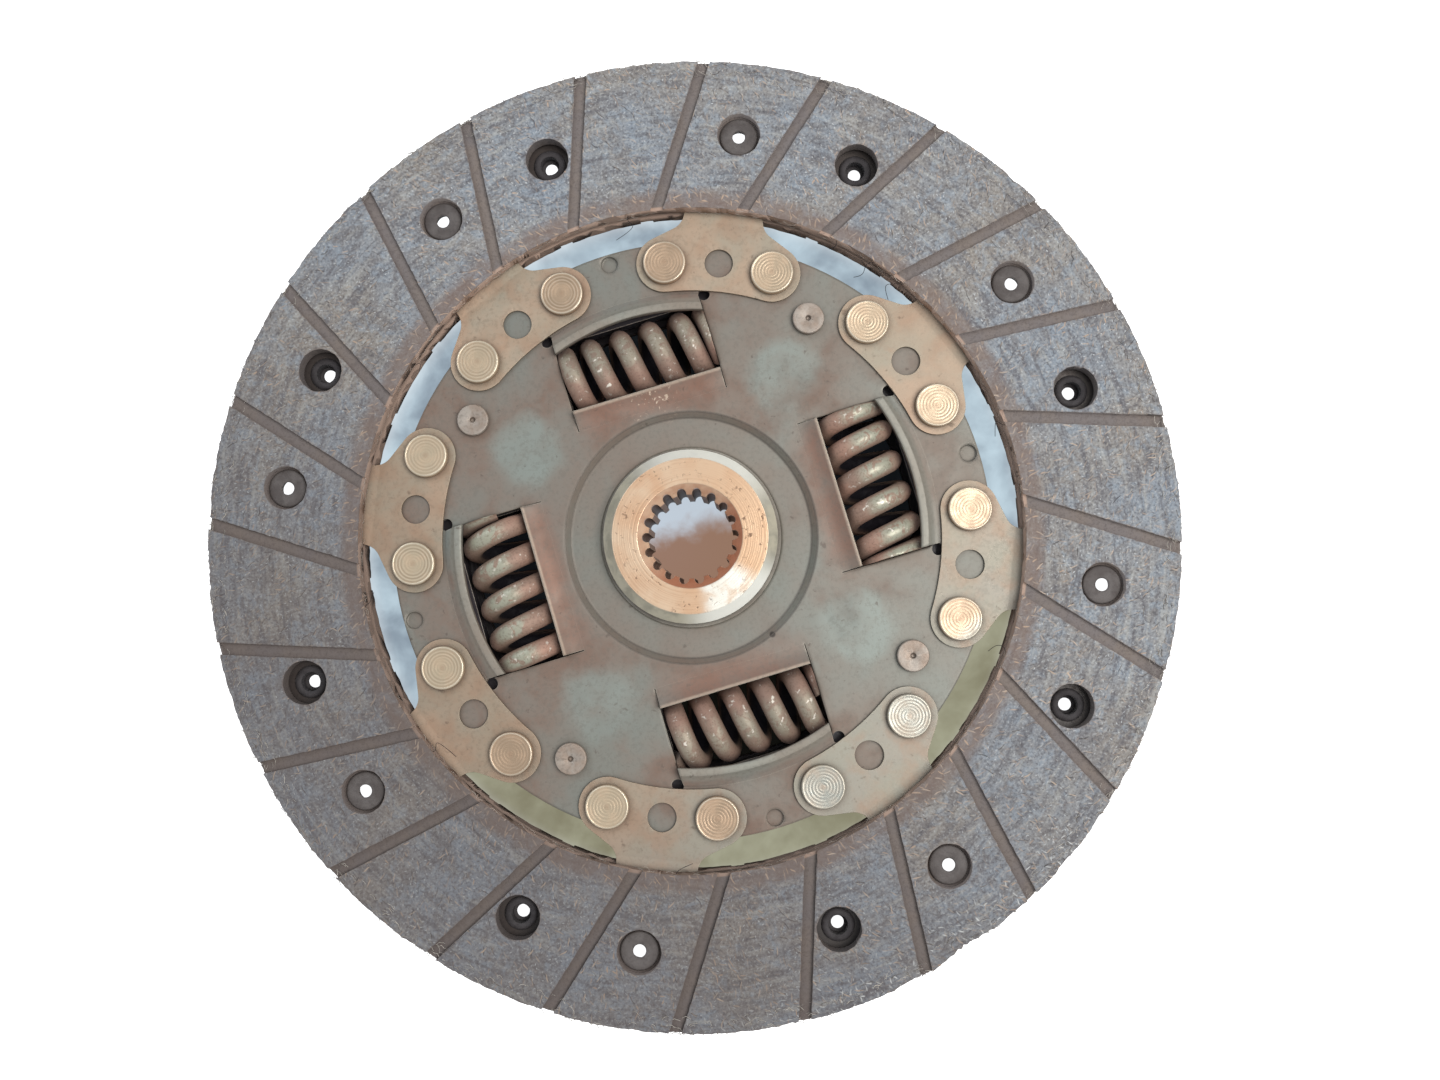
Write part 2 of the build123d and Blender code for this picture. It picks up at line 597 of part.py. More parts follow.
def damper_spring():
    """One coil spring in the window on +X, its axis along Y, its ends ground flat."""
    length = 2 * (WINDOW_HALF_L - SPRING_END_GAP)
    coil_r = SPRING_OUTER_R - WIRE_R
    turns = ACTIVE_TURNS + 2
    ground_offset = (2 * GROUND_TIP_SHARE - 1) * WIRE_R
    steps = round(turns * COIL_STEPS)
    rings = []
    for step in range(steps + 1):
        turn = turns * step / steps
        angle = 2 * pi * turn
        out = Vector(sin(angle), 0, cos(angle))
        along = Vector(0, coil_centre(turn, ground_offset, turns, length), 0)
        centre = out * coil_r + along
        ring = []
        for side in range(WIRE_SIDES):
            around = 2 * pi * (side + 0.5) / WIRE_SIDES
            ring.append(centre + out * (WIRE_R * cos(around)) + Vector(0, WIRE_R * sin(around), 0))
        rings.append(ring)
    faces = [Face(Wire.make_polygon(rings[0])), Face(Wire.make_polygon(rings[-1]))]
    for near, far in zip(rings, rings[1:]):
        for side in range(WIRE_SIDES):
            following = (side + 1) % WIRE_SIDES
            a, b, c, d = near[side], near[following], far[following], far[side]
            faces.append(Face(Wire.make_polygon([a, b, c])))
            faces.append(Face(Wire.make_polygon([a, c, d])))
    coil = Solid(Shell(faces))
    reach = SPRING_OUTER_R + 1
    coil = coil & block((-reach, reach), (-length / 2, length / 2), (-reach, reach))
    return Pos(SPRING_PCR, 0, FLANGE_MID_Z) * coil


# ---------------------------------------------------------------- friction pack


def hub_bush():
    """Flanged bush that centres the carrier plate on the hub and rubs on the flange's front."""
    inner_r = HUB_FRONT_R + RUN_GAP
    flange_rear = RECESS_REAR_Z - BUSH_FLANGE_T
    front = RECESS_REAR_Z + PLATE_T
    return turned(
        [
            (inner_r, flange_rear),
            (FRICTION_OUTER_R, flange_rear),
            (FRICTION_OUTER_R, RECESS_REAR_Z),
            (inner_r + BUSH_WALL, RECESS_REAR_Z),
            (inner_r + BUSH_WALL, front),
            (inner_r, front),
        ]
    )


def rear_friction_washer():
    low_z = FRICTION_WASHER_FRONT_Z - FRICTION_WASHER_T
    return tube(HUB_REAR_R + SLOT_GAP, FRICTION_OUTER_R, low_z, FRICTION_WASHER_FRONT_Z)


def support_washer():
    """Steel washer pressed on by the disc spring, with tabs through the retainer plate."""
    low_z = SUPPORT_WASHER_FRONT_Z - SUPPORT_WASHER_T
    washer = tube(HUB_REAR_R + SLOT_GAP, FRICTION_OUTER_R, low_z, SUPPORT_WASHER_FRONT_Z)
    tab_end_z = RETAINER_RECESS_Z - PLATE_T - TAB_PROUD
    tab = block(
        (TAB_MID_R - TAB_T / 2, TAB_MID_R + TAB_T / 2),
        (-TAB_W / 2, TAB_W / 2),
        (tab_end_z, SUPPORT_WASHER_FRONT_Z),
    )
    for copy in ring_of(tab, TAB_COUNT, TAB_PHASE):
        washer += copy
    return washer


def disc_spring():
    """Conical spring washer between the retainer plate and the support washer."""
    inner_r = HUB_REAR_R + 2 * SLOT_GAP
    return turned(
        [
            (inner_r, DISC_SPRING_FRONT_Z),
            (inner_r, DISC_SPRING_FRONT_Z - DISC_SPRING_T),
            (DISC_SPRING_OUTER_R, RETAINER_RECESS_Z),
            (DISC_SPRING_OUTER_R, RETAINER_RECESS_Z + DISC_SPRING_T),
        ]
    )


# ---------------------------------------------------------------- assembly


def build_nodes():
    """Every node's solids under its name."""
    to_front = Pos(0, 0, CUSHION / 2)
    nodes = {
        "front_facing": to_front * facing(),
        "rear_facing": turned_over(to_front * facing()),
        "front_facing_rivets": facing_rivets(),
        "rear_facing_rivets": [turned_over(rivet) for rivet in facing_rivets()],
        "segment_rivets": segment_rivets(),
        "carrier_plate": carrier_plate(),
        "retainer_plate": retainer_plate(),
        "stop_pins": stop_pins(),
        "hub": hub(),
        "hub_bush": hub_bush(),
        "rear_friction_washer": rear_friction_washer(),
        "support_washer": support_washer(),
        "disc_spring": disc_spring(),
    }
    for number, leaf in enumerate(ring_of(cushion_segment(), SEGMENT_COUNT, SEGMENT_PHASE), 1):
        nodes[f"cushion_segment_{number}"] = leaf
    for number, spring in enumerate(ring_of(damper_spring(), WINDOW_COUNT), 1):
        nodes[f"damper_spring_{number}"] = spring
    return nodes


def main():
    os.makedirs("parts", exist_ok=True)
    for name, shape in build_nodes().items():
        solids = shape if isinstance(shape, list) else [shape]
        group = [solid for piece in solids for solid in piece.solids()]
        export_step(group[0] if len(group) == 1 else Compound(children=group), f"parts/{name}.step")


main()
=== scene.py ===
"""Finish of a used clutch disc: worn friction facings, pressed plates, riveted leaves, springs and hub.

Object space is the part's own frame in metres. Lengths are written in millimetres and scaled by MM.
"""

import random
from math import atan2, copysign, cos, degrees, hypot, pi, radians, sin

import bmesh
import bpy
from mathutils import Matrix, Vector, noise


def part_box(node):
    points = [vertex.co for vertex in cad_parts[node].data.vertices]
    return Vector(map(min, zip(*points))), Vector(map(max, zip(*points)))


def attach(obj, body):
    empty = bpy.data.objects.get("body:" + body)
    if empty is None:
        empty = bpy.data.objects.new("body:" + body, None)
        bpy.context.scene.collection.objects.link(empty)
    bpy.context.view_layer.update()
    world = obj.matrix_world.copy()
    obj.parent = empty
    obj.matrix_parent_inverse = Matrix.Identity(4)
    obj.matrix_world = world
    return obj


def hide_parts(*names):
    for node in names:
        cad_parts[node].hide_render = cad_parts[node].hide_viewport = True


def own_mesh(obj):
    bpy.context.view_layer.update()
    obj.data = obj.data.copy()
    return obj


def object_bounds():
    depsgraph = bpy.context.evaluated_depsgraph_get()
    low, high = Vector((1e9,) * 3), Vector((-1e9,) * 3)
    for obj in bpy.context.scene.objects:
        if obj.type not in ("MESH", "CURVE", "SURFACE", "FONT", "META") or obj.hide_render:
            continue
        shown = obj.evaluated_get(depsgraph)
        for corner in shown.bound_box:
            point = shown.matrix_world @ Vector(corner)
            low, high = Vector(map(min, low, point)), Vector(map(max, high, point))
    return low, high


MM = 0.001
TURN = 2 * pi
MERGE = 0.002 * MM

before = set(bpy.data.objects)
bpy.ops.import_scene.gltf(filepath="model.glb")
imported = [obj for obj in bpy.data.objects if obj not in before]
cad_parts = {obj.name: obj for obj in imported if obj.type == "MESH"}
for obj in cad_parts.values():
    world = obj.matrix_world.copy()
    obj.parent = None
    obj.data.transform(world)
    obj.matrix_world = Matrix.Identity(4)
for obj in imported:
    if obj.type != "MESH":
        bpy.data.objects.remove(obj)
cad_low, cad_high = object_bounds()

# Sizes of the part, in millimetres, that the finish has to line up with.
FACING_OUTER_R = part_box("front_facing")[1].x / MM
FACING_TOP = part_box("front_facing")[1].z / MM
FACING_INNER_R = 68.6
FACING_RIVET_R = 84.6
HEAD_HOLE_ANGLE = 21.4
TAIL_HOLE_ANGLE = 4.1
SEGMENT_COUNT = 8
SEGMENT_PHASE = 22.5
SEGMENT_RIVET_R = 58.0
SEGMENT_RIVET_HALF_PITCH = 11.3
SEGMENT_T = 0.7
HEAD_R = 4.5
HEAD_T = 1.5
HEAD_STEPS = 60
TUBE_STEPS = 36
RING_PITCH = 0.66
PLATE_T = 1.8
RECESS_STEPS = (25.2, 26.4)
WINDOW_COUNT = 4
SPRING_CIRCLE_R = 39.2
SPRING_OUTER_R = 8.3
SPRING_LENGTH = 32.3
WIRE_R = 2.2
# Active turns of each spring, and the share of a turn before its first crest.
COILS = [(3.75, 0.184), (3.875, 0.137), (3.80, 0.037), (3.89, -0.10)]
HUB_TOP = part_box("hub")[1].z / MM
HUB_R = 18.1
HUB_CHAMFER = 2.0
BORE_CHAMFER_R = 10.9
CARRIER_TOP = -SEGMENT_T / 2
SPRING_MID_Z = (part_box("damper_spring_1")[0].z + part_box("damper_spring_1")[1].z) / 2 / MM

# Sides of the disc on which its finish or its painted shade changes, in degrees about its axis.
BARE_AND_SHADED_SIDE = -65
CHIPPED_SIDE = -76
LESS_RUSTY_SIDE = -17
FACING_SHADE_SIDE = 218
SEGMENT_SHADE_SIDE = 200
ROSY_HUB_SIDE = 160
WHITE = (1, 1, 1, 1)
NOISE_SEED = 1


# ---------------- camera, floor and light


EYE = Vector((7.63, -20.40, 257.28)) * MM
AIM = Vector((5.66, -2.69, 4.0)) * MM
UP_ANGLE = radians(73.25)  # direction on the disc that is upwards in the view
LENS = 31.0
SENSOR = 36
FLOOR_HALF = 3.0


def add_object(name, data):
    thing = bpy.data.objects.new(name, data)
    bpy.context.scene.collection.objects.link(thing)
    return thing


def add_camera():
    data = bpy.data.cameras.new("camera")
    data.lens = LENS
    data.sensor_width = SENSOR
    data.clip_start = 5 * MM
    camera = add_object("camera", data)
    ahead = (AIM - EYE).normalized()
    right = ahead.cross(Vector((cos(UP_ANGLE), sin(UP_ANGLE), 0))).normalized()
    turn = Matrix((right, right.cross(ahead), -ahead)).transposed().to_4x4()
    camera.matrix_world = Matrix.Translation(EYE) @ turn
    bpy.context.scene.camera = camera


def add_lamp(name, place, size, power, colour):
    """A round area lamp that faces the middle of the disc."""
    data = bpy.data.lights.new(name, "AREA")
    data.shape = "DISK"
    data.size = size
    data.energy = power
    data.color = colour
    lamp = add_object(name, data)
    lamp.location = place
    lamp.rotation_euler = (-Vector(place)).to_track_quat("-Z", "Y").to_euler()


# ---------------- node building


def put(tree, kind, sockets=None, **settings):
    """Adds a node. Sockets are given by name or number, as plain values or as a Value to link."""
    node = tree.nodes.new(kind)
    for name, value in settings.items():
        setattr(node, name, value)
    for key, value in (sockets or {}).items():
        if isinstance(value, Value):
            link(value, node.inputs[key])
        else:
            node.inputs[key].default_value = value
    return node


def get(tree, kind, sockets=None, output=0, **settings):
    """Adds a node and gives one of its outputs."""
    return Value(put(tree, kind, sockets, **settings).outputs[output])


def link(value, target):
    target.id_data.links.new(value.socket, target)


def calc(tree, operation, a, b=0.0, c=0.0):
    return get(tree, "ShaderNodeMath", {0: a, 1: b, 2: c}, operation=operation)


def combine(tree, x=0.0, y=0.0, z=0.0):
    return get(tree, "ShaderNodeCombineXYZ", {0: x, 1: y, 2: z})


def rgb(red, green, blue):
    """Colour from display values of 0 to 255."""
    return tuple(((c / 255 + 0.055) / 1.055) ** 2.4 for c in (red, green, blue)) + (1.0,)


def tone_of(colour):
    """A colour as a node takes it: three display values are turned into one."""
    return rgb(*colour) if isinstance(colour, tuple) and len(colour) == 3 else colour


class Value:
    """An output of a node. Arithmetic with it adds the nodes that work the result out."""

    def __init__(self, socket):
        self.socket = socket
        self.tree = socket.id_data

    def calc(self, operation, b=0.0, c=0.0):
        return calc(self.tree, operation, self, b, c)

    def __add__(self, other):
        return self.calc("ADD", other)

    def __sub__(self, other):
        return self.calc("SUBTRACT", other)

    def __rsub__(self, other):
        return calc(self.tree, "SUBTRACT", other, self)

    def __mul__(self, other):
        return self.calc("MULTIPLY", other)

    def __truediv__(self, other):
        return self.calc("DIVIDE", other)

    def __rtruediv__(self, other):
        return calc(self.tree, "DIVIDE", other, self)

    def __abs__(self):
        return self.calc("ABSOLUTE")

    def larger(self, other):
        return self.calc("MAXIMUM", other)

    def smaller(self, other):
        return self.calc("MINIMUM", other)

    def span(self, low, high, out_low=0.0, out_high=1.0):
        """The value mapped smoothly from low..high to out_low..out_high."""
        sockets = {"Value": self, "From Min": low, "From Max": high, "To Min": out_low, "To Max": out_high}
        return get(self.tree, "ShaderNodeMapRange", sockets, interpolation_type="SMOOTHSTEP")

    def blend(self, a, b):
        """Colour a where the value is 0, colour b where it is 1."""
        sockets = {0: self, 6: tone_of(a), 7: tone_of(b)}
        return get(self.tree, "ShaderNodeMix", sockets, 2, data_type="RGBA")

    def vector(self, operation, other=None):
        """Vector arithmetic. A length, a distance and a dot product give a number."""
        sockets = {0: self}
        if other is not None:
            sockets["Scale" if operation == "SCALE" else 1] = other
        output = "Value" if operation in ("LENGTH", "DISTANCE", "DOT_PRODUCT") else 0
        return get(self.tree, "ShaderNodeVectorMath", sockets, output, operation=operation)

    def split(self):
        """The three parts of a vector."""
        return [Value(part) for part in put(self.tree, "ShaderNodeSeparateXYZ", {0: self}).outputs]


def node_group(name, kind, build, inputs):
    """A node group with a named input for each value. Build takes them and gives the outputs by name."""
    tree = bpy.data.node_groups.new(name, kind)
    kinds = {int: "Int", float: "Float", tuple: "Vector", bpy.types.Object: "Object"}
    for label, value in inputs.items():
        kind = "NodeSocket" + kinds.get(type(value), "Material")
        tree.interface.new_socket(label, in_out="INPUT", socket_type=kind).default_value = value
    outputs = build(tree, {socket.name: Value(socket) for socket in tree.nodes.new("NodeGroupInput").outputs})
    for label in outputs:
        kind = "NodeSocket" + {"Geometry": "Geometry", "Position": "Vector"}.get(label, "Float")
        tree.interface.new_socket(label, in_out="OUTPUT", socket_type=kind)
    put(tree, "NodeGroupOutput", outputs)
    return tree


def shader_group(name, build, inputs):
    return node_group(name, "ShaderNodeTree", build, inputs)


def position(tree, _):
    """Place on the part in millimetres, with its radius and angle about the axis."""
    spot = get(tree, "ShaderNodeTexCoord", output="Object").vector("SCALE", 1 / MM)
    x, y, z = spot.split()
    radius = spot.vector("MULTIPLY", (1, 1, 0)).vector("LENGTH")
    return {"Position": spot, "Radius": radius, "Angle": y.calc("ARCTAN2", x), "Height": z}


def window_place(_, given):
    """Place in the nearest window: out from the axis, along the spring, and 1 at the two side windows."""
    x, y, _ = given["Position"].vector("ABSOLUTE").split()
    return {"Out": x.larger(y), "Along": x.smaller(y), "Sideways": x.calc("GREATER_THAN", y)}


def patches(tree, given):
    """Soft-edged patches: 1 inside them, 0 outside."""
    sockets = {"Vector": given["Position"], "W": given["Seed"], "Scale": 1.0 / given["Size"]}
    sockets.update({"Detail": given["Detail"], "Roughness": 0.55, "Distortion": given["Warp"]})
    cloud = get(tree, "ShaderNodeTexNoise", sockets, noise_dimensions="4D")
    edge = 0.74 - given["Share"] * 0.48
    return {"Mask": cloud.span(edge - given["Softness"], edge + given["Softness"])}


def strokes(tree, given):
    """Short straight fibres in all directions of the plane, one in some of the cells."""
    point = given["Position"].vector("SCALE", 1.0 / given["Cell"])
    drift = get(tree, "ShaderNodeTexNoise", {"Vector": point, "Scale": 1.3, "Detail": 1.0}, 1)
    bent = point.vector("ADD", drift.vector("SCALE", 0.35))
    cells = put(tree, "ShaderNodeTexVoronoi", {"Vector": bent, "Scale": 1.0}, voronoi_dimensions="2D")
    away = bent.vector("SUBTRACT", Value(cells.outputs["Position"]))
    chances = put(tree, "ShaderNodeSeparateColor", {0: Value(cells.outputs["Color"])}).outputs
    heading, luck, light = (Value(socket) for socket in chances)
    angle = (heading * given["Spread"]).calc("MULTIPLY_ADD", pi, given["Lean"])
    turned = get(tree, "ShaderNodeVectorRotate", {"Vector": away, "Angle": angle}, rotation_type="Z_AXIS")
    x, y, _ = turned.split()
    along, across = (x / given["Length"]).calc("POWER", 2.0), (y / given["Width"]).calc("POWER", 2.0)
    chosen = luck.calc("LESS_THAN", given["Share"])
    return {"Mask": (along + across).span(1.0, 0.25) * chosen * light.span(0.0, 1.0, 0.45, 1.0)}


def worn_edges_and_corner_shade(tree, given):
    """Outer edges, which handling wears bright, and inner corners, found by occlusion, where shade is
    painted.
    """
    rounded = get(tree, "ShaderNodeBevel", {"Radius": given["Edge Radius"] * MM}, samples=4)
    flat = get(tree, "ShaderNodeNewGeometry", output="Normal")
    sockets = {"Distance": given["Corner Reach"] * MM}
    # Painted shade: occlusion finds the inner corners that the materials darken.
    corner = get(tree, "ShaderNodeAmbientOcclusion", sockets, "AO", samples=6).span(0.95, 0.35)
    edge = rounded.vector("DOT_PRODUCT", flat).span(0.995, 0.85)
    return {"Edge": edge * (1.0 - corner), "Corner": corner}


def fine_grain(tree, given):
    """Fine surface relief in millimetres, with a speckle of the same size."""
    sockets = {"Vector": given["Position"], "Scale": 1.0 / given["Size"], "Detail": 5.0}
    cloud = get(tree, "ShaderNodeTexNoise", {**sockets, "Roughness": given["Roughness"]})
    return {"Relief": cloud * given["Depth"], "Speckle": cloud.span(0.25, 0.75)}


def turned_lines(tree, given):
    """Concentric tool marks of a lathe about an axis, from the radius in millimetres."""
    sockets = {"W": given["Radius"] / given["Pitch"], "Scale": 1.0, "Detail": 3.0}
    uneven = get(tree, "ShaderNodeTexNoise", sockets, noise_dimensions="1D")
    smear = get(tree, "ShaderNodeTexNoise", {"Vector": given["Position"], "Scale": 0.25})
    return {"Relief": uneven * given["Depth"], "Tone": uneven * smear.span(0.3, 0.6, 0.6, 1.0)}


# Each group's inputs stand in the order in which a Spot gives them. Sizes are in millimetres.
AT = {"Position": (0.0, 0.0, 0.0)}
PATCH_SIZES = {"Size": 10.0, "Share": 0.5, "Softness": 0.1, "Seed": 0.0, "Warp": 0.3, "Detail": 4.0}
STROKE_SIZES = {"Cell": 2.0, "Length": 0.4, "Width": 0.07, "Share": 0.5, "Lean": 0.0, "Spread": 1.0}
POSITION = shader_group("part position", position, {})
WINDOW = shader_group("window place", window_place, AT)
PATCHES = shader_group("patches", patches, {**AT, **PATCH_SIZES})
STROKES = shader_group("fibre strokes", strokes, {**AT, **STROKE_SIZES})
EDGES = shader_group("worn edges and corner shade", worn_edges_and_corner_shade, {"Edge Radius": 0.4, "Corner Reach": 2.0})
GRAIN = shader_group("fine grain", fine_grain, {**AT, "Size": 0.5, "Depth": 0.02, "Roughness": 0.6})
TURNED = shader_group("turned lines", turned_lines, {**AT, "Radius": 0.0, "Pitch": 0.3, "Depth": 0.01})


class Spot:
    """The point that is shaded: its place on the part, and the patterns that are read there."""

    def __init__(self, tree):
        self.tree = tree
        self.place, self.radius, self.angle, self.height = self.read(POSITION)

    def read(self, group, *sizes):
        """All the outputs of a group, at sizes in the order of its inputs."""
        node = put(self.tree, "ShaderNodeGroup", node_tree=group)
        for target, size in zip(node.inputs, sizes):
            if isinstance(size, Value):
                link(size, target)
            else:
                target.default_value = size
        return [Value(socket) for socket in node.outputs]

    def patches(self, size, share, softness=0.1, seed=0.0, warp=0.3, detail=4.0):
        return self.read(PATCHES, self.place, size, share, softness, seed, warp, detail)[0]

    def strokes(self, cell, length, width, share, lean=0.0, spread=1.0):
        return self.read(STROKES, self.place, cell, length, width, share, lean, spread)[0]

    def grain(self, size, depth, roughness=0.6):
        """Relief and speckle."""
        return self.read(GRAIN, self.place, size, depth, roughness)

    def edges(self, radius, reach):
        """Worn edges, and corners where shade is painted."""
        return self.read(EDGES, radius, reach)

    def window(self):
        """How far out, how far along, and whether the window is one of the two side ones."""
        return self.read(WINDOW, self.place)

    def turned(self, radius, pitch, depth):
        """Relief and tone of the lathe's marks."""
        return self.read(TURNED, self.place, radius, pitch, depth)

    def towards(self, degrees):
        """Distance from the axis in one direction across the disc."""
        way = (cos(radians(degrees)), sin(radians(degrees)), 0.0)
        return self.place.vector("DOT_PRODUCT", way)

    def attribute(self, name):
        return get(self.tree, "ShaderNodeAttribute", output="Fac", attribute_name=name)

    def facing_up(self):
        """1 where the surface faces the front of the disc, -1 where it faces the rear."""
        return get(self.tree, "ShaderNodeNewGeometry", output="Normal").split()[2]

    def winding(self, length, width, wander):
        """Streaks that run round the disc as the wound yarn does."""
        x, y, _ = self.place.split()
        around = [share / self.radius * (FACING_RIVET_R / length) for share in (x, y)]
        sway = get(self.tree, "ShaderNodeTexNoise", {"Vector": self.place, "Scale": 0.09, "Detail": 2.0})
        out = sway.calc("MULTIPLY_ADD", wander, self.radius)
        point = combine(self.tree, out * (1 / width), *around)
        return get(self.tree, "ShaderNodeTexNoise", {"Vector": point, "Scale": 1.0, "Detail": 4.0})


# ---------------- materials


def coats(colour, *layers):
    """A colour under layers, each of them a mask and its own colour."""
    for mask, tone in layers:
        colour = mask.blend(colour, tone)
    return colour


class Surface(Spot):
    """A material, with the spot that its patterns read."""

    def __init__(self, name, metallic=0.0, roughness=0.6):
        self.material = bpy.data.materials.new(name)
        self.material.use_nodes = True
        super().__init__(self.material.node_tree)
        self.inputs = self.tree.nodes["Principled BSDF"].inputs
        self.inputs["Metallic"].default_value = metallic
        self.inputs["Roughness"].default_value = roughness

    def finished(self, **values):
        """The material, once these values lead into its shader."""
        for name, value in values.items():
            link(value, self.inputs[name.replace("_", " ").title()])
        return self.material

    def relief(self, *heights, soft=0.0, level=None):
        """Bumps the normal by heights, after rounding edges, both in millimetres; level turns it upwards."""
        sockets = {"Height": sum(heights[1:], heights[0]), "Distance": MM, "Strength": 1.0}
        if soft:
            normal = get(self.tree, "ShaderNodeBevel", {"Radius": soft * MM}, samples=8)
            if level is not None:
                ends = {0: level, 4: normal, 5: (0, 0, 1)}
                normal = get(self.tree, "ShaderNodeMix", ends, 1, data_type="VECTOR").vector("NORMALIZE")
            sockets["Normal"] = normal
        link(get(self.tree, "ShaderNodeBump", sockets), self.inputs["Normal"])


def facing_material():
    """Pressed friction compound: slate grey yarn with pale, dark and copper fibres, brown where unworn."""
    at = Surface("friction facing", 0, 0.85)
    grain, speckle = at.grain(0.55, 0.06, 0.7)
    edge, corner = at.edges(0.7, 2)
    yarn = at.winding(9, 1.1, 2)
    along = TURN / 4 - at.angle
    pale = at.strokes(2.2, 0.30, 0.07, 0.40, along, 0.35)
    black = at.strokes(3, 0.45, 0.045, 0.55, along, 0.45)
    clusters = at.patches(12, 0.45, 0.2, 12).span(0, 1, 0.45, 1)
    colour = coats(
        at.patches(22, 0.5, 0.2, 3).blend((145, 154, 165), (153, 146, 139)),
        (at.patches(4, 0.45, 0.12, 8, 1.2, 6) * 0.75, (124, 120, 120)),
        (at.patches(3, 0.35, 0.10, 21, 1.2, 6) * 0.6, (154, 166, 178)),
        (yarn.span(0.50, 0.30) * 0.7, (108, 107, 112)),
        (yarn.span(0.55, 0.70) * 0.5, (182, 181, 176)),
        (speckle.span(0.48, 0.05) * 0.65, (84, 82, 86)),
        (speckle.span(0.58, 0.95) * 0.5, (196, 198, 198)),
        (at.strokes(0.9, 0.34, 0.13, 0.30) * clusters, (206, 209, 210)),
        (pale * 0.45, (196, 188, 176)),
        (black * 0.65, (62, 58, 58)),
    )
    # Broken yarn ends along the chipped stretch of the outer edge, painted near white as glints of light.
    chipped = at.towards(CHIPPED_SIDE).span(80, 97) * at.radius.span(86, 98)
    glinting_yarn_ends = at.strokes(1.7, 0.38, 0.09, 0.6, along, 0.7) * chipped
    # Rust and copper fibres gather at the edges, and in bands and bunches over the face.
    rim = at.radius.span(FACING_INNER_R + 5, FACING_INNER_R + 2.2)
    near_edge = (edge * 0.7).larger(rim * 0.9)
    far_side = at.place.split()[1].span(70, -40, 0.5, 1) * at.patches(8, 0.52, 0.12, 23, 1)
    bands = at.patches(9, 0.40, 0.12, 15, 1) * 0.8
    copper = at.strokes(2.1, 0.36, 0.08, 0.8, along, 0.6)
    copper = copper.larger(at.strokes(4.6, 0.30, 0.030, 0.9, along, 0.6))
    # Holes, grooves and walls keep the brown of the unworn compound.
    unworn = abs(at.height).span(FACING_TOP - 0.05, FACING_TOP - 0.3)
    wall = at.radius.span(FACING_INNER_R + 0.9, FACING_INNER_R + 0.5)
    brown = coats(
        at.patches(6, 0.5, 0.2, 2).blend((132, 125, 124), (140, 129, 122)),
        (speckle.span(0.6, 0.1) * 0.4, (92, 84, 82)),
        (wall, (186, 160, 144)),
    )
    colour = coats(
        colour,
        # Painted glints on the broken yarn ends.
        (glinting_yarn_ends, (236, 238, 236)),
        (near_edge * at.patches(4, 0.85, 0.3, 5) * 0.85, (132, 113, 103)),
        (at.strokes(3, 0.36, 0.055, 0.9, along, 0.7) * far_side, (206, 186, 168)),
        (copper * (near_edge * 0.9).larger(bands), (202, 174, 150)),
        (unworn, brown),
        # Painted shade in corners, weaker on the inner wall.
        (corner * wall.span(0, 1, 0.35, 0.06), (60, 52, 52)),
        # Painted shade: the face is darker towards one side of the disc.
        (at.towards(FACING_SHADE_SIDE).span(-35, 80, 0, 0.52), (90, 80, 76)),
    )
    at.inputs["Specular IOR Level"].default_value = 0.25
    at.relief(grain, pale * 0.04 + yarn.span(0.3, 0.7) * 0.05, black * -0.04)
    return at.finished(base_color=colour)


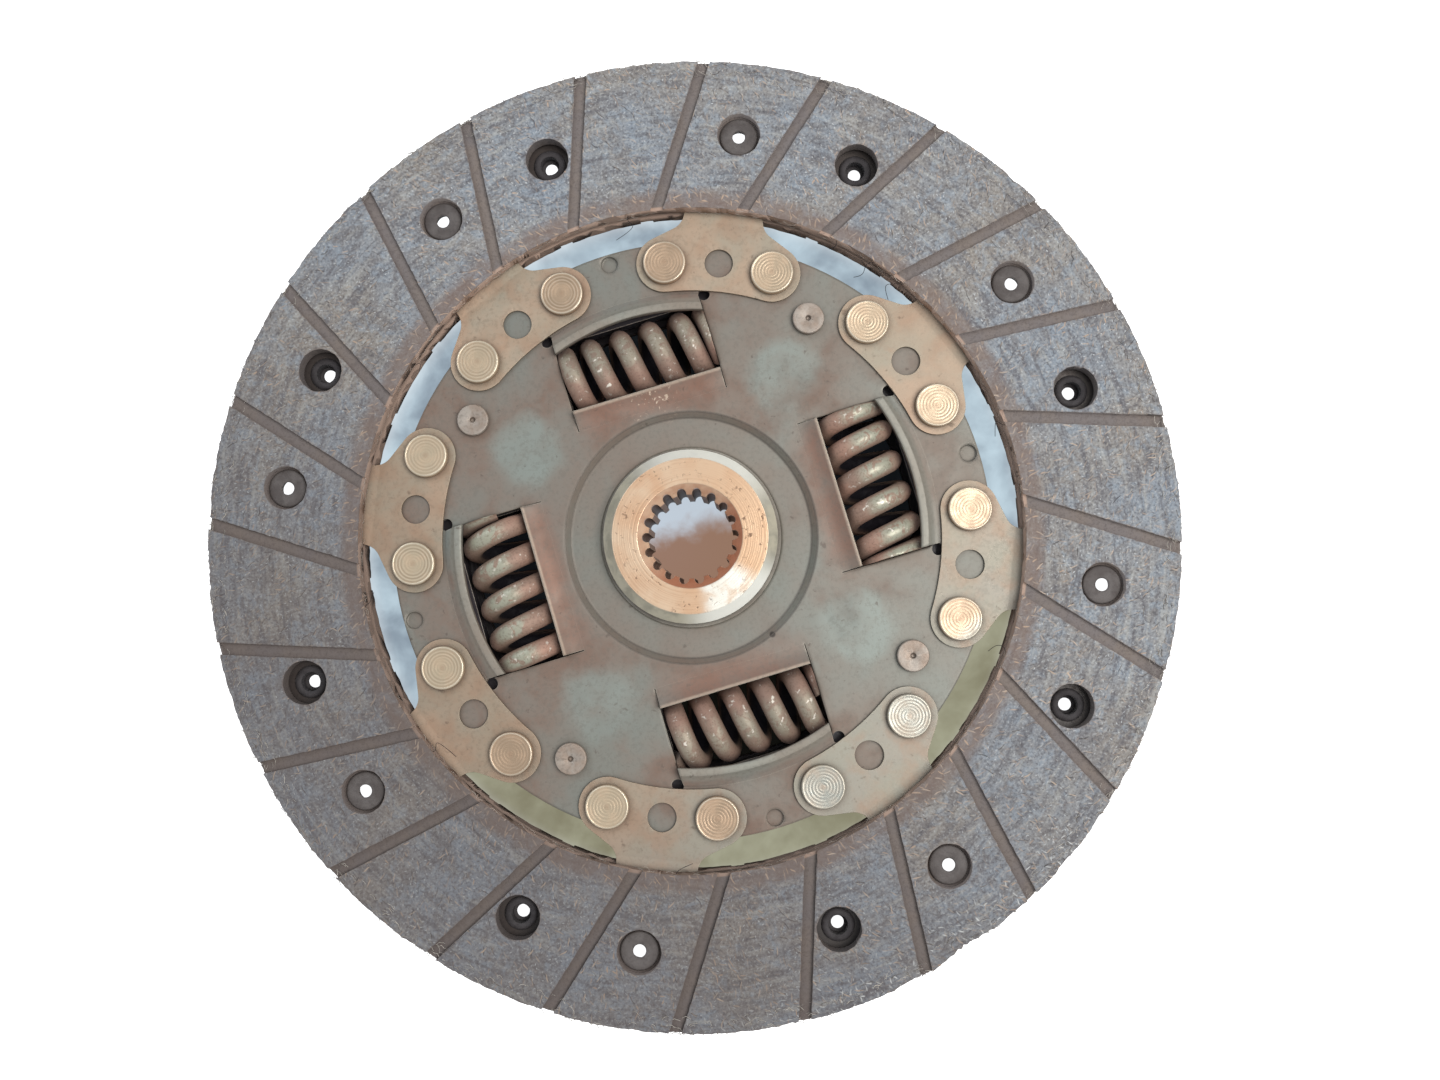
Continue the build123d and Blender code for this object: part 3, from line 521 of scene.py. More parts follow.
def plate_material():
    """Phosphated steel gone dull: grey-green, with rust-brown clouds and pale round press marks."""
    at = Surface("drive plate", 0.35, 0.55)
    grain, speckle = at.grain(0.8, 0.02)
    edge, corner = at.edges(0.35, 2)
    out, along, _ = at.window()
    flat = at.place.vector("MULTIPLY", (1, 1, 0))
    rust = at.patches(24, 0.55, 0.14, 6, 0.8) * at.patches(5, 0.45, 0.2, 9).span(0, 1, 0.55, 1)
    rust = rust * at.radius.span(24, 28, 0.4, 1)
    rust = rust * at.towards(LESS_RUSTY_SIDE).span(20, 50, 1, 0.5)
    # Pale round marks between the windows, one in each quarter.
    gap = flat.vector("ABSOLUTE").vector("DISTANCE", (28, 27, 0)) + at.patches(7, 0.5, 0.3, 4) * 3
    mark = gap.span(11, 6.5) * at.patches(9, 0.6, 0.25, 14).span(0, 1, 0.25, 0.75)
    # The sill in front of an inner lip is rusty, and the upper one has been rubbed bare in spots.
    sill = out.span(23.5, 30) * out.span(32.3, 31.6) * along.span(19, 11)
    upper_window = at.place.split()[1].calc("GREATER_THAN", 20)
    rubbed = at.patches(1, 0.24, 0.05, 19, 1) * along.span(7, 3) * sill * upper_window
    # Painted highlights: a light line along the tip of each inner lip, and the raised top of each arch lip
    # made lighter.
    lip_tip_highlight = out.span(31.4, 31.8) * out.span(33, 32.6) * at.height.span(0.3, 0.9)
    arch = at.height.span(0.4, 1.6) * at.radius.span(43, 46)
    dent = flat.vector("DISTANCE", (10.4, -24.3, 0)).span(0.8, 0.4)
    # Painted shade: deep inside the damper, the faces towards the front are darkened nearly to black.
    damper_inside_shade = at.height.span(-6.5, -8) * at.facing_up().span(-0.3, 0.3)
    # Painted shade: two thin dark lines along the walls of the pressed recess.
    recess_shade_lines = [abs(at.radius - step).span(0.32, 0.05, 0, 0.5) for step in RECESS_STEPS]
    colour = coats(
        at.patches(22, 0.5, 0.2, 1).blend((134, 137, 130), (138, 129, 119)),
        (rust * 0.85, (140, 114, 100)),
        (mark, (148, 157, 151)),
        (sill * at.patches(8, 0.6, 0.3, 17).span(0, 1, 0.2, 0.85), (146, 111, 95)),
        (rubbed * 0.8, (226, 206, 184)),
        (lip_tip_highlight * 0.7, (192, 172, 154)),
        (arch * 0.45, (172, 170, 158)),
        (dent * 0.8, (48, 42, 40)),
        (at.patches(1.4, 0.12, 0.05, 7) * 0.6, (92, 80, 72)),
        (speckle.span(0.55, 0.1) * 0.25, (110, 106, 98)),
        (edge * 0.55, (190, 184, 170)),
        *((line, (76, 68, 62)) for line in recess_shade_lines),
        # Painted shade in corners, and deep inside the damper.
        (corner * 0.4, (66, 58, 52)),
        (damper_inside_shade * 0.92, (38, 36, 44)),
    )
    # The lips leave the flat in a long bend, so their feet are shaded nearly as flat.
    foot = out.span(31.6, 28.2) * out.span(27, 28) * along.span(16.6, 16.2)
    arch_foot = at.radius.span(49, 51.4) * at.radius.span(52.6, 51.8)
    level = foot.larger(arch_foot) * 0.85 * at.height.calc("GREATER_THAN", -3)
    at.relief(grain, rust * 0.01, soft=0.8, level=level)
    return at.finished(base_color=colour, roughness=rust.span(0, 1, 0.48, 0.75))


def segment_material():
    """Spring steel with a straw to brown heat tint, greyer clouds, and painted shade between the facings."""
    at = Surface("segment steel", 0.2, 0.52)
    grain, speckle = at.grain(0.7, 0.015)
    edge, corner = at.edges(0.2, 1.6)
    between = at.radius.span(FACING_INNER_R + 1, FACING_INNER_R + 4)
    colour = coats(
        at.patches(15, 0.5, 0.2, 2, 0.6).blend((190, 162, 138), (174, 160, 140)),
        (at.towards(BARE_AND_SHADED_SIDE).span(26, 50) * 0.8, (158, 157, 147)),
        (at.patches(9, 0.35, 0.15, 5) * 0.7, (164, 160, 144)),
        (at.patches(6, 0.35, 0.15, 8) * 0.55, (172, 136, 110)),
        # Painted shade: the leaves are darker towards one side of the disc.
        (at.towards(SEGMENT_SHADE_SIDE).span(10, 60, 0, 0.25), (120, 96, 78)),
        (at.patches(1.8, 0.12, 0.05, 3) * 0.5, (98, 80, 66)),
        (speckle.span(0.5, 0.1) * 0.2, (120, 104, 88)),
        (edge * 0.5, (214, 200, 176)),
        # Painted shade in corners, and nearly black where the leaf runs between the facings.
        (corner * 0.7, (74, 60, 50)),
        (between * 0.92, (52, 47, 48)),
    )
    at.relief(grain)
    return at.finished(base_color=colour, roughness=speckle.span(0, 1, 0.40, 0.55))


def head_material():
    """Formed rivet heads: cream to tan metal with turned rings, each head a little different."""
    at = Surface("segment rivet", 0.45, 0.38)
    tone, from_axis = at.attribute("tone"), at.attribute("from_axis")
    lines, shine = at.turned(from_axis, 0.30, 0.010)
    corner = at.edges(0.2, 1.2)[1]
    stain = at.patches(2.4, 0.45, 0.2, 4)
    wave = (from_axis * (TURN / RING_PITCH)).calc("SINE")
    fade = from_axis.span(1.6, 2.8) * shine.span(0.1, 0.5, 0.35, 1)
    fade = fade * (tone * 7.3).calc("FRACT").span(0.2, 0.9, 0.5, 1.6)
    rim = from_axis.span(HEAD_R - 0.5, HEAD_R - 0.3) * from_axis.span(HEAD_R, HEAD_R - 0.15)
    warm = tone.blend((188, 162, 136), (212, 194, 166))
    colour = coats(
        at.towards(BARE_AND_SHADED_SIDE).span(50.5, 54).blend(warm, (170, 172, 164)),
        (stain * 0.35, (190, 158, 130)),
        (wave.span(0.3, -1, 0, 0.24) * fade, (128, 104, 84)),
        (wave.span(0.4, 1, 0, 0.16) * fade, (250, 240, 220)),
        (from_axis.span(0.9, 0.2) * 0.3, (176, 142, 116)),
        # Painted highlight on the rim of each head, and painted shade in corners.
        (rim * 0.4, (240, 230, 210)),
        (corner * 0.8, (84, 66, 52)),
    )
    at.relief(lines)
    return at.finished(base_color=colour, roughness=stain.span(0, 1, 0.28, 0.45))


def dull_material(name, pale, dark, metallic, roughness, size, seed):
    """Dull metal or compound of two close tones, with painted shade in its corners and rubbed edges."""
    at = Surface(name, metallic, roughness)
    grain, speckle = at.grain(0.6, 0.02)
    edge, corner = at.edges(0.25, 1.5)
    shade = tuple(0.45 * c for c in rgb(*dark)[:3]) + (1,)
    light = tuple(min(1, 1.35 * c) for c in rgb(*pale)[:3]) + (1,)
    colour = coats(
        at.patches(size, 0.5, 0.15, seed).blend(pale, dark),
        (speckle.span(0.5, 0.1) * 0.3, shade),
        (edge * 0.5, light),
        # Painted shade in corners.
        (corner * 0.6, shade),
    )
    at.relief(grain)
    return at.finished(base_color=colour, roughness=speckle.span(0, 1, roughness - 0.08, roughness + 0.1))


def hub_material():
    """Turned hub: cream face under thin rust with a painted highlight fan, silver chamfer with painted
    glints, copper-brown bore mouth, dark spline spaces.
    """
    at = Surface("hub steel", 0.5, 0.36)
    radius = at.radius
    lines, shine = at.turned(radius, 0.35, 0.02)
    edge, corner = at.edges(0.25, 0.9)
    # Painted highlight: a bright fan on one side of the face, where the turned face reflects the light.
    sector = abs(at.angle + radians(72)).span(radians(30), radians(14))
    lit_zone = sector * at.patches(5, 0.6, 0.1, 6).span(0, 1, 0.4, 1)
    pits = at.patches(1.2, 0.24, 0.05, 5, 0.8) * at.patches(6, 0.55, 0.1, 11)
    face = coats(
        at.patches(9, 0.45, 0.2, 2).blend((240, 212, 182), (226, 182, 146)),
        (shine.span(0.4, 0.2) * 0.35, (196, 150, 116)),
        (at.towards(ROSY_HUB_SIDE).span(14, -14, 0, 0.7), (216, 176, 140)),
        (lit_zone * 0.9, (255, 254, 244)),
        (pits * 0.7, (92, 66, 52)),
    )
    silver = at.patches(3, 0.45, 0.15, 1).blend((196, 190, 170), (164, 160, 144))
    # Painted highlights: two bright arcs on the chamfer, as glints of the lamps.
    for middle, half, light in ((-70, 46, 0.95), (62, 66, 0.75)):
        off = abs(at.angle - radians(middle))
        polished = off.span(radians(half), radians(half * 0.4), 0, light)
        silver = polished.blend(silver, (255, 255, 246))
    copper = at.patches(3, 0.4, 0.15, 7).blend((226, 190, 160), (204, 158, 128))
    # Painted shade: the bore mouth is a darker copper on one side.
    copper = (at.towards(BARE_AND_SHADED_SIDE).span(-4, 5) * 0.85).blend(copper, (178, 108, 78))
    rusty = at.patches(4, 0.5, 0.2, 9).blend((134, 112, 102), (98, 80, 72))
    on_chamfer = radius.span(HUB_R - HUB_CHAMFER - 0.1, HUB_R - HUB_CHAMFER + 0.15)
    in_mouth = radius.span(BORE_CHAMFER_R, BORE_CHAMFER_R - 0.2)
    in_bore = in_mouth * at.height.span(HUB_TOP - 2, HUB_TOP - 2.6)
    on_tooth = radius.span(8.9, 8.72) * 0.6
    on_flange = radius.span(HUB_R + 0.5, HUB_R + 0.9)
    colour = coats(
        face,
        (on_chamfer, silver),
        (in_mouth, copper),
        (in_bore, rusty),
        (in_bore * on_tooth, (186, 158, 142)),
        # Painted shade: the flange inside the damper is nearly black.
        (on_flange, pits.blend((66, 62, 66), (44, 40, 42))),
        (edge * 0.6, (240, 226, 204)),
        # Painted shade in corners.
        (corner * 0.6, (58, 42, 36)),
    )
    rough = pits.span(0, 1, 0.30, 0.6) + in_bore * 0.25
    metal = in_mouth.larger(on_chamfer).span(0, 1, 0.5, 0.12)
    at.relief(lines, pits * -0.008, soft=0.2)
    return at.finished(base_color=colour, roughness=rough, metallic=metal)


def spring_material():
    """Spring wire: rust-brown skin with polished greenish patches along the top of the coils."""
    at = Surface("spring steel", 0.25, 0.5)
    grain, speckle = at.grain(0.5, 0.02)
    corner = at.edges(0.2, 2)[1]
    out, _, sideways = at.window()
    up = at.facing_up()
    crest = abs(up).span(0.5, 0.85)
    outer_half = out.span(35.5, 39.5) * out.span(46.5, 43.5)
    worn = at.patches(3.6, 0.60, 0.05, 3, 1.6) * crest * outer_half * sideways.span(0, 1, 0.45, 1)
    # Painted shade on the inner side of the wire, and under the arches of the plates.
    under_arch = out.span(44.6, 47.6) * sideways.span(0, 1, 0.6, 0.1)
    in_painted_shade = at.attribute("inner_side").larger(under_arch * up.span(-0.3, 0.1))
    colour = coats(
        at.patches(7, 0.5, 0.15, 1).blend((184, 146, 128), (166, 138, 122)),
        (sideways.span(0, 1, 0.35, 0), (118, 98, 88)),
        (outer_half * 0.35, (146, 140, 124)),
        (worn * 0.75, (184, 188, 168)),
        (at.patches(1.5, 0.22, 0.04, 6) * crest, (236, 228, 214)),
        (speckle.span(0.5, 0.1) * 0.35, (104, 80, 68)),
        # Painted shade in corners, on the inner side of the wire and under the arches.
        (corner * 0.5, (48, 40, 46)),
        (in_painted_shade, (34, 30, 38)),
    )
    at.relief(grain)
    return at.finished(base_color=colour, roughness=worn.span(0, 1, 0.62, 0.38) + in_painted_shade * 0.3)


def fibre_material(name, pale, dark):
    """Loose fibres, whose tone changes from one to the next."""
    at = Surface(name, 0, 0.8)
    return at.finished(base_color=at.attribute("tone").blend(pale, dark))


def seen_by(tree, *kinds):
    """1 for rays of these kinds."""
    path = put(tree, "ShaderNodeLightPath")
    first, *others = [Value(path.outputs[f"Is {kind} Ray"]) for kind in kinds]
    for other in others:
        first = first.larger(other)
    return first


def floor_material():
    """White floor that keeps the shade under the disc, is painted dark there with a painted coloured glow,
    and is plain white round it.
    """
    material = bpy.data.materials.new("floor")
    material.use_nodes = True
    tree = material.node_tree
    tree.nodes.clear()
    at = Spot(tree)
    side = at.place.split()[1]
    lit_zone = at.radius.span(FACING_INNER_R + 3, FACING_INNER_R + 12)
    outside = at.radius.span(FACING_INNER_R + 1, FACING_INNER_R + 10)
    # Painted shade: under the disc the floor's own colour is nearly black.
    shade = get(tree, "ShaderNodeBsdfDiffuse", {"Color": lit_zone.blend((36, 36, 46), (238, 239, 240))})
    # Painted light that the floor gives off under the disc: blue from one side, yellow-green from the other,
    # and brown near the bore as a painted reflection of the rusty bore; under the windows it is nearly off.
    cloud = at.patches(11, 0.5, 0.25, 1)
    edge = cloud.calc("MULTIPLY_ADD", 8, side)
    blue = cloud.blend((152, 168, 182), (216, 238, 250))
    green = cloud.blend((146, 142, 116), (186, 186, 160))
    mouth = at.patches(3, 0.5, 0.3, 4).calc("MULTIPLY_ADD", 3, side)
    tint = coats(
        edge.span(-26, -14).blend(green, blue),
        (at.radius.span(22, 16), mouth.span(1, 8.5).blend((166, 131, 110), (212, 224, 236))),
        (outside, WHITE),
    )
    windows = at.radius.span(17, 22) * at.radius.span(60, 54)
    seen = seen_by(tree, "Camera", "Glossy", "Transmission")
    strength = seen * windows.span(0, 1, 1, 0.012) * outside.span(0, 1, 0.8, 1)
    glow = get(tree, "ShaderNodeEmission", {"Color": tint, "Strength": strength})
    put(tree, "ShaderNodeOutputMaterial", {0: get(tree, "ShaderNodeAddShader", {0: shade, 1: glow})})
    return material


def set_world():
    """A plain sky that lights the disc softly, and is seen as white."""
    world = bpy.data.worlds.new("sky")
    world.use_nodes = True
    bpy.context.scene.world = world
    tree = world.node_tree
    tree.nodes.clear()
    light = get(tree, "ShaderNodeBackground", {"Color": (0.90, 0.95, 1, 1), "Strength": 0.42})
    white = get(tree, "ShaderNodeBackground", {"Color": WHITE, "Strength": 1})
    both = get(tree, "ShaderNodeMixShader", {0: seen_by(tree, "Camera", "Transmission"), 1: light, 2: white})
    put(tree, "ShaderNodeOutputWorld", {0: both})


def add_stage():
    floor_mesh = bpy.data.meshes.new("floor")
    corners = [(-1, -1), (1, -1), (1, 1), (-1, 1)]
    points = [(x * FLOOR_HALF, y * FLOOR_HALF, cad_low.z) for x, y in corners]
    floor_mesh.from_pydata(points, [], [(0, 1, 2, 3)])
    floor = add_object("floor", floor_mesh)
    floor_mesh.materials.append(floor_material())
    set_world()
    add_lamp("overhead", (0.45, -0.12, 0.95), 0.7, 8.0, (1.0, 0.97, 0.93))
    add_lamp("window", (-0.50, 0.75, 0.75), 0.6, 2.2, (0.80, 0.90, 1.0))


# ---------------- mesh building


def settle(piece, body, slot, nodes, material=None):
    """Gives a finished piece its material, its body and the nodes that it stands for. The slot is not used.
    """
    if material is not None:
        piece.data.materials.clear()
        piece.data.materials.append(material)
    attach(piece, body)
    if nodes:
        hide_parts(*nodes)
    return piece


def plain(thing):
    """Bakes an object's modifiers into its mesh."""
    graph = bpy.context.evaluated_depsgraph_get()
    mesh = bpy.data.meshes.new_from_object(
        thing.evaluated_get(graph), preserve_all_data_layers=True, depsgraph=graph
    )
    thing.modifiers.clear()
    thing.data = mesh
    return thing


def merged_copy(node):
    """The node's mesh with its loose triangles joined and its flat faces whole."""
    form = bmesh.new()
    form.from_mesh(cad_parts[node].data)
    bmesh.ops.remove_doubles(form, verts=form.verts, dist=MERGE)
    bmesh.ops.dissolve_degenerate(form, edges=form.edges, dist=MERGE)
    bmesh.ops.dissolve_limit(form, angle_limit=radians(0.3), verts=form.verts, edges=form.edges)
    return form


def edge_angle(edge):
    return edge.calc_face_angle(0.0) if len(edge.link_faces) == 2 else 0.0


def round_off(form, low, high, width, segments):
    """Rounds the edges whose faces meet at an angle between low and high degrees."""
    low, high = radians(low), radians(high)
    sharp = [edge for edge in form.edges if low <= edge_angle(edge) < high]
    shape = {"offset": width * MM, "offset_type": "OFFSET", "segments": segments, "profile": 0.5}
    bmesh.ops.bevel(form, geom=sharp, affect="EDGES", clamp_overlap=True, **shape)


def mesh_from(form, name, sharp_angle):
    """The form as a smooth mesh, sharp at edges above an angle in degrees."""
    mesh = bpy.data.meshes.new(name)
    form.to_mesh(mesh)
    form.free()
    mesh.shade_smooth()
    mesh.set_sharp_from_angle(angle=radians(sharp_angle))
    return mesh


def softened(node, bend=0.0, edge=0.2):
    """A copy of a rigid node with rounded bends and broken edges."""
    form = merged_copy(node)
    if bend:
        round_off(form, 15, 60, bend, 3)
    round_off(form, 60, 181, edge, 2)
    bmesh.ops.triangulate(form, faces=form.faces)
    piece = add_object(node + "_worn", mesh_from(form, node + "_worn", 40))
    weighted = piece.modifiers.new("weighted", "WEIGHTED_NORMAL")
    weighted.keep_sharp = True
    return plain(piece)


def turned_mesh(name, profile, steps):
    """A surface of revolution about Z from (radius, height) points in millimetres, poles closed."""
    points, faces = [], []
    rings = []
    for radius, height in profile:
        count = 1 if radius == 0 else steps
        rings.append([len(points) + k for k in range(count)])
        for k in range(count):
            angle = TURN * k / steps
            points.append((radius * cos(angle) * MM, radius * sin(angle) * MM, height * MM))
    for near, far in zip(rings, rings[1:]):
        for k in range(steps):
            a, b = near[k % len(near)], near[(k + 1) % len(near)]
            c, d = far[(k + 1) % len(far)], far[k % len(far)]
            faces.append([a, d, c, b] if len({a, b, c, d}) == 4 else list(dict.fromkeys([a, d, c, b])))
    mesh = bpy.data.meshes.new(name)
    mesh.from_pydata(points, [], faces)
    mesh.shade_smooth()
    mesh.set_sharp_from_angle(angle=radians(50))
    away = mesh.attributes.new("from_axis", "FLOAT", "POINT")
    for vertex in mesh.vertices:
        away.data[vertex.index].value = hypot(vertex.co.x, vertex.co.y) / MM
    return mesh


# ---------------- growing what repeats


def grown(tree, name, sizes=None):
    """An object with the plain mesh that the tree makes at these sizes."""
    thing = add_object(name, bpy.data.meshes.new(name))
    modifier = thing.modifiers.new("grow", "NODES")
    modifier.node_group = tree
    for item in tree.interface.items_tree:
        if item.item_type == "SOCKET" and item.in_out == "INPUT" and item.name in (sizes or {}):
            modifier[item.identifier] = sizes[item.name]
    return plain(thing)


def growth_tree(name, grow, sizes):
    return node_group(name, "GeometryNodeTree", grow, sizes)


def grown_solid(geometry, material):
    """The output of a growth tree: its instances made real, in one material."""
    solid = get(geometry.tree, "GeometryNodeRealizeInstances", {"Geometry": geometry})
    sockets = {"Geometry": solid, "Material": material}
    return {"Geometry": get(geometry.tree, "GeometryNodeSetMaterial", sockets)}


def chance(seed, number, low=0.0, high=1.0):
    """A random number for each element, fixed by the seed and by its own number."""
    sockets = {2: low, 3: high, "Seed": seed + number * 101.0}
    return get(seed.tree, "FunctionNodeRandomValue", sockets, 1, data_type="FLOAT")


def moved(geometry, place, how="Position"):
    return get(geometry.tree, "GeometryNodeSetPosition", {"Geometry": geometry, how: place})


def marked(geometry, name, value, domain):
    """Geometry that carries a value under a name."""
    sockets = {"Geometry": geometry, "Name": name, "Value": value}
    settings = {"data_type": "FLOAT", "domain": domain}
    return get(geometry.tree, "GeometryNodeStoreNamedAttribute", sockets, **settings)


def on_circle(radius, angle, height):
    return combine(radius.tree, radius * angle.calc("COSINE"), radius * angle.calc("SINE"), height)


def straight_path(tree, start, end, count):
    line = get(tree, "GeometryNodeCurvePrimitiveLine", {"Start": start, "End": end})
    return get(tree, "GeometryNodeResampleCurve", {"Curve": line, "Count": count})


def rod(path, sides, radius):
    """A closed rod along a curve."""
    ring = get(path.tree, "GeometryNodeCurvePrimitiveCircle", {"Resolution": sides, "Radius": radius})
    sockets = {"Curve": path, "Profile Curve": ring, "Fill Caps": True}
    return get(path.tree, "GeometryNodeCurveToMesh", sockets)


def rivet_ring(tree, given):
    """Rivets in groups on a circle, each turned at random and given its own tone."""
    size, seed = given["Group Size"], given["Seed"]
    line = get(tree, "GeometryNodeMeshLine", {"Count": given["Groups"] * size})
    number = get(tree, "GeometryNodeInputIndex")
    group = (number / size).calc("FLOOR")
    centred = number.calc("MODULO", size) - (size - 1.0) / 2.0
    angle = group.calc("MULTIPLY_ADD", TURN / given["Groups"], given["Phase"])
    angle = (centred * 2.0).calc("MULTIPLY_ADD", given["Half Pitch"], angle)
    spots = moved(line, on_circle(given["Circle Radius"], angle, given["Seat"]))
    rivet = get(tree, "GeometryNodeObjectInfo", {"Object": given["Rivet"]}, "Geometry")
    tilt = [chance(seed, k, -1.0, 1.0) * given["Tilt"] for k in (1, 2)]
    turn = combine(tree, *tilt, chance(seed, 3, 0.0, TURN))
    sockets = {"Points": spots, "Instance": rivet, "Rotation": turn}
    placed = get(tree, "GeometryNodeInstanceOnPoints", sockets)
    return grown_solid(marked(placed, "tone", chance(seed, 4), "INSTANCE"), given["Material"])


def coil_spring(tree, given):
    """A compression spring along Y: active coils between closed ones, its ends ground flat."""
    length, active, wire_r = given["Length"], given["Active Turns"], given["Wire Radius"]
    path = straight_path(tree, (0, 0, 0), (0, 0.01, 0), given["Steps"])
    turn = get(tree, "GeometryNodeSplineParameter") * (active + 2.0)
    closed = wire_r.calc("MULTIPLY_ADD", 2.0, given["Closed Gap"])
    begin = (given["Ground Share"] * 2.0 - 1.0) * wire_r - length / 2.0
    pitch = (begin * -2.0 - closed * 2.0) / active
    first = turn.smaller(1.0)
    middle = (turn - 1.0).larger(0.0).smaller(active)
    last = (turn - active - 1.0).larger(0.0)
    along = middle.calc("MULTIPLY_ADD", pitch, (first + last).calc("MULTIPLY_ADD", closed, begin))
    angle = turn.calc("MULTIPLY_ADD", TURN, given["Start"])
    x, z = angle.calc("SINE") * given["Coil Radius"], angle.calc("COSINE") * given["Coil Radius"]
    wire = rod(moved(path, combine(tree, x, along, z)), given["Sides"], wire_r)
    # The side towards the spring's own axis is marked for painted shade.
    x, _, z = get(tree, "GeometryNodeInputPosition").split()
    inward = (given["Coil Radius"] - combine(tree, x, 0.0, z).vector("LENGTH")) / wire_r
    wire = marked(wire, "inner_side", inward.span(0.2, 0.75), "POINT")
    # The ends are ground: what lies beyond the spring's length is laid flat on its end plane.
    x, y, z = get(tree, "GeometryNodeInputPosition").split()
    half = length / 2.0
    ground = moved(wire, combine(tree, x, y.smaller(half).larger(half * -1.0), z))
    smooth = get(tree, "GeometryNodeSetShadeSmooth", {"Geometry": ground})
    return grown_solid(smooth, given["Material"])


FIBRE_POINTS = 6
FIBRE_SIDES = 3


def frayed_edge(tree, given):
    """Loose fibres lying along a round edge, some of them standing out of it."""
    seed, length = given["Seed"], given["Length"]
    path = straight_path(tree, (-0.5, 0, 0), (0.5, 0, 0), FIBRE_POINTS)
    bow = (get(tree, "GeometryNodeSplineParameter") * 4.2).calc("SINE") * 0.12
    fibre = rod(moved(path, combine(tree, 0.0, bow, 0.0), "Offset"), FIBRE_SIDES, given["Thickness"] / length)
    spots = get(tree, "GeometryNodeMeshLine", {"Count": given["Count"]})
    angle = chance(seed, 1, 0.0, TURN)
    band = given["Inset"] + given["Reach"]
    out = chance(seed, 3).calc("MULTIPLY_ADD", band, given["Radius"] - given["Inset"])
    spread = moved(spots, on_circle(out, angle, chance(seed, 4, given["Low"], given["High"])))
    lean = chance(seed, 5, -1.0, 1.0)
    heading = angle + TURN / 4 + lean * abs(lean) * given["Curl"]
    dip = chance(seed, 6, -1.0, 1.0) * 0.12
    size = length * chance(seed, 7, 0.35, 1.0)
    sockets = {"Points": spread, "Instance": fibre, "Rotation": combine(tree, 0.0, dip, heading)}
    placed = get(tree, "GeometryNodeInstanceOnPoints", {**sockets, "Scale": combine(tree, size, size, size)})
    return grown_solid(marked(placed, "tone", chance(seed, 8), "INSTANCE"), given["Material"])


# ---------------- pieces


OVER = Matrix.Rotation(radians((HEAD_HOLE_ANGLE + TAIL_HOLE_ANGLE) / 2), 4, "Z")
TURNED_OVER = OVER @ Matrix.Rotation(pi, 4, "X") @ OVER.inverted()

# Broken stretches of the outer edge: middle angle, half width in degrees, depth in millimetres.
EDGE_CHIPS = [(-73.0, 4.5, 1.3), (-80.5, 2.0, 0.7), (-66.5, 2.6, 0.6), (-58.0, 1.4, 0.35), (-95.0, 1.6, 0.4)]
EDGE_CHIPS += [(118.0, 1.2, 0.35), (160.0, 1.5, 0.3), (31.0, 1.2, 0.3), (-140.0, 2.2, 0.35)]
# Sharp edges of a facing are cut into lengths of this many millimetres, to make them ragged.
FINEST_CUT = 0.7
MOST_CUTS = 60
SHARP_ANGLE = 45


def edge_loss(angle, height, top):
    """How far the outer edge has frayed inwards at an angle in degrees, in millimetres."""
    spot = Vector((cos(radians(angle)), sin(radians(angle)), 0)) * FACING_OUTER_R
    loss = 0.05 + 0.30 * abs(noise.noise(spot * 0.8)) + 0.30 * max(0.0, noise.noise(spot * 0.3))
    loss += 0.10 * noise.noise(spot * 2.3 + Vector((0, 0, height)))
    for middle, half, depth in EDGE_CHIPS if top else []:
        off = abs((angle - middle + 180) % 360 - 180) / half
        if off < 1:
            rough = 0.75 + 0.5 * noise.noise(spot * 1.7)
            loss += depth * rough * (1 - off * off)
    return max(0.02, loss)


def frayed_in(point, upper):
    """The share of its radius that a point at the outer edge keeps."""
    radius = hypot(point.x, point.y) / MM
    depth = FACING_TOP - (1 if upper else -1) * point.z / MM
    loss = edge_loss(degrees(atan2(point.y, point.x)), depth, upper)
    deep_share = 0.55  # the walls below the face are less worn
    return 1 - loss * (1.0 if depth < 1.5 else deep_share) / radius


def cut_finely(form):
    """Cuts the sharp edges into short lengths that can be made ragged."""
    by_cuts = {}
    for edge in form.edges:
        cuts = int(edge.calc_length() / (FINEST_CUT * MM))
        if cuts and edge_angle(edge) > radians(SHARP_ANGLE):
            by_cuts.setdefault(min(cuts, MOST_CUTS), []).append(edge)
    for cuts, edges in by_cuts.items():
        bmesh.ops.bisect_edges(form, edges=edges, cuts=cuts)


def make_ragged(form, upper):
    """Moves the points of the outer edge, the bore, and the face's grooves and holes."""
    for vertex in form.verts:
        radius = hypot(vertex.co.x, vertex.co.y)
        depth = FACING_TOP - (1 if upper else -1) * vertex.co.z / MM
        if radius > (FACING_OUTER_R - 0.5) * MM:
            vertex.co.xy *= frayed_in(vertex.co, upper)
        elif radius < (FACING_INNER_R + 0.5) * MM:
            wave = noise.noise(vertex.co / MM * 0.5) * 0.12 + noise.noise(vertex.co / MM * 2.7) * 0.05
            vertex.co.xy *= 1 + (wave + 0.04) * MM / radius
        elif depth < 0.05:
            drift = noise.noise_vector(vertex.co / MM * 1.1) * 0.14 * MM
            vertex.co.xy += drift.xy


def straighten_flats(mesh):
    """Gives the flats their true normal, because thin triangles on them would shade unevenly."""
    normals = [Vector(corner.vector) for corner in mesh.corner_normals]
    for polygon in mesh.polygons:
        heights = [mesh.vertices[k].co.z for k in polygon.vertices]
        if max(heights) - min(heights) < 0.005 * MM:
            for corner in polygon.loop_indices:
                normals[corner] = Vector((0, 0, copysign(1.0, polygon.normal.z)))
    mesh.normals_split_custom_set(normals)


def worn_facing(node, upper):
    """A facing whose outer edge, bore, grooves and holes have ragged edges."""
    form = merged_copy(node)
    cut_finely(form)
    make_ragged(form, upper)
    bmesh.ops.triangulate(form, faces=form.faces, ngon_method="BEAUTY")
    mesh = mesh_from(form, node + "_worn", 35)
    straighten_flats(mesh)
    return add_object(node + "_worn", mesh)


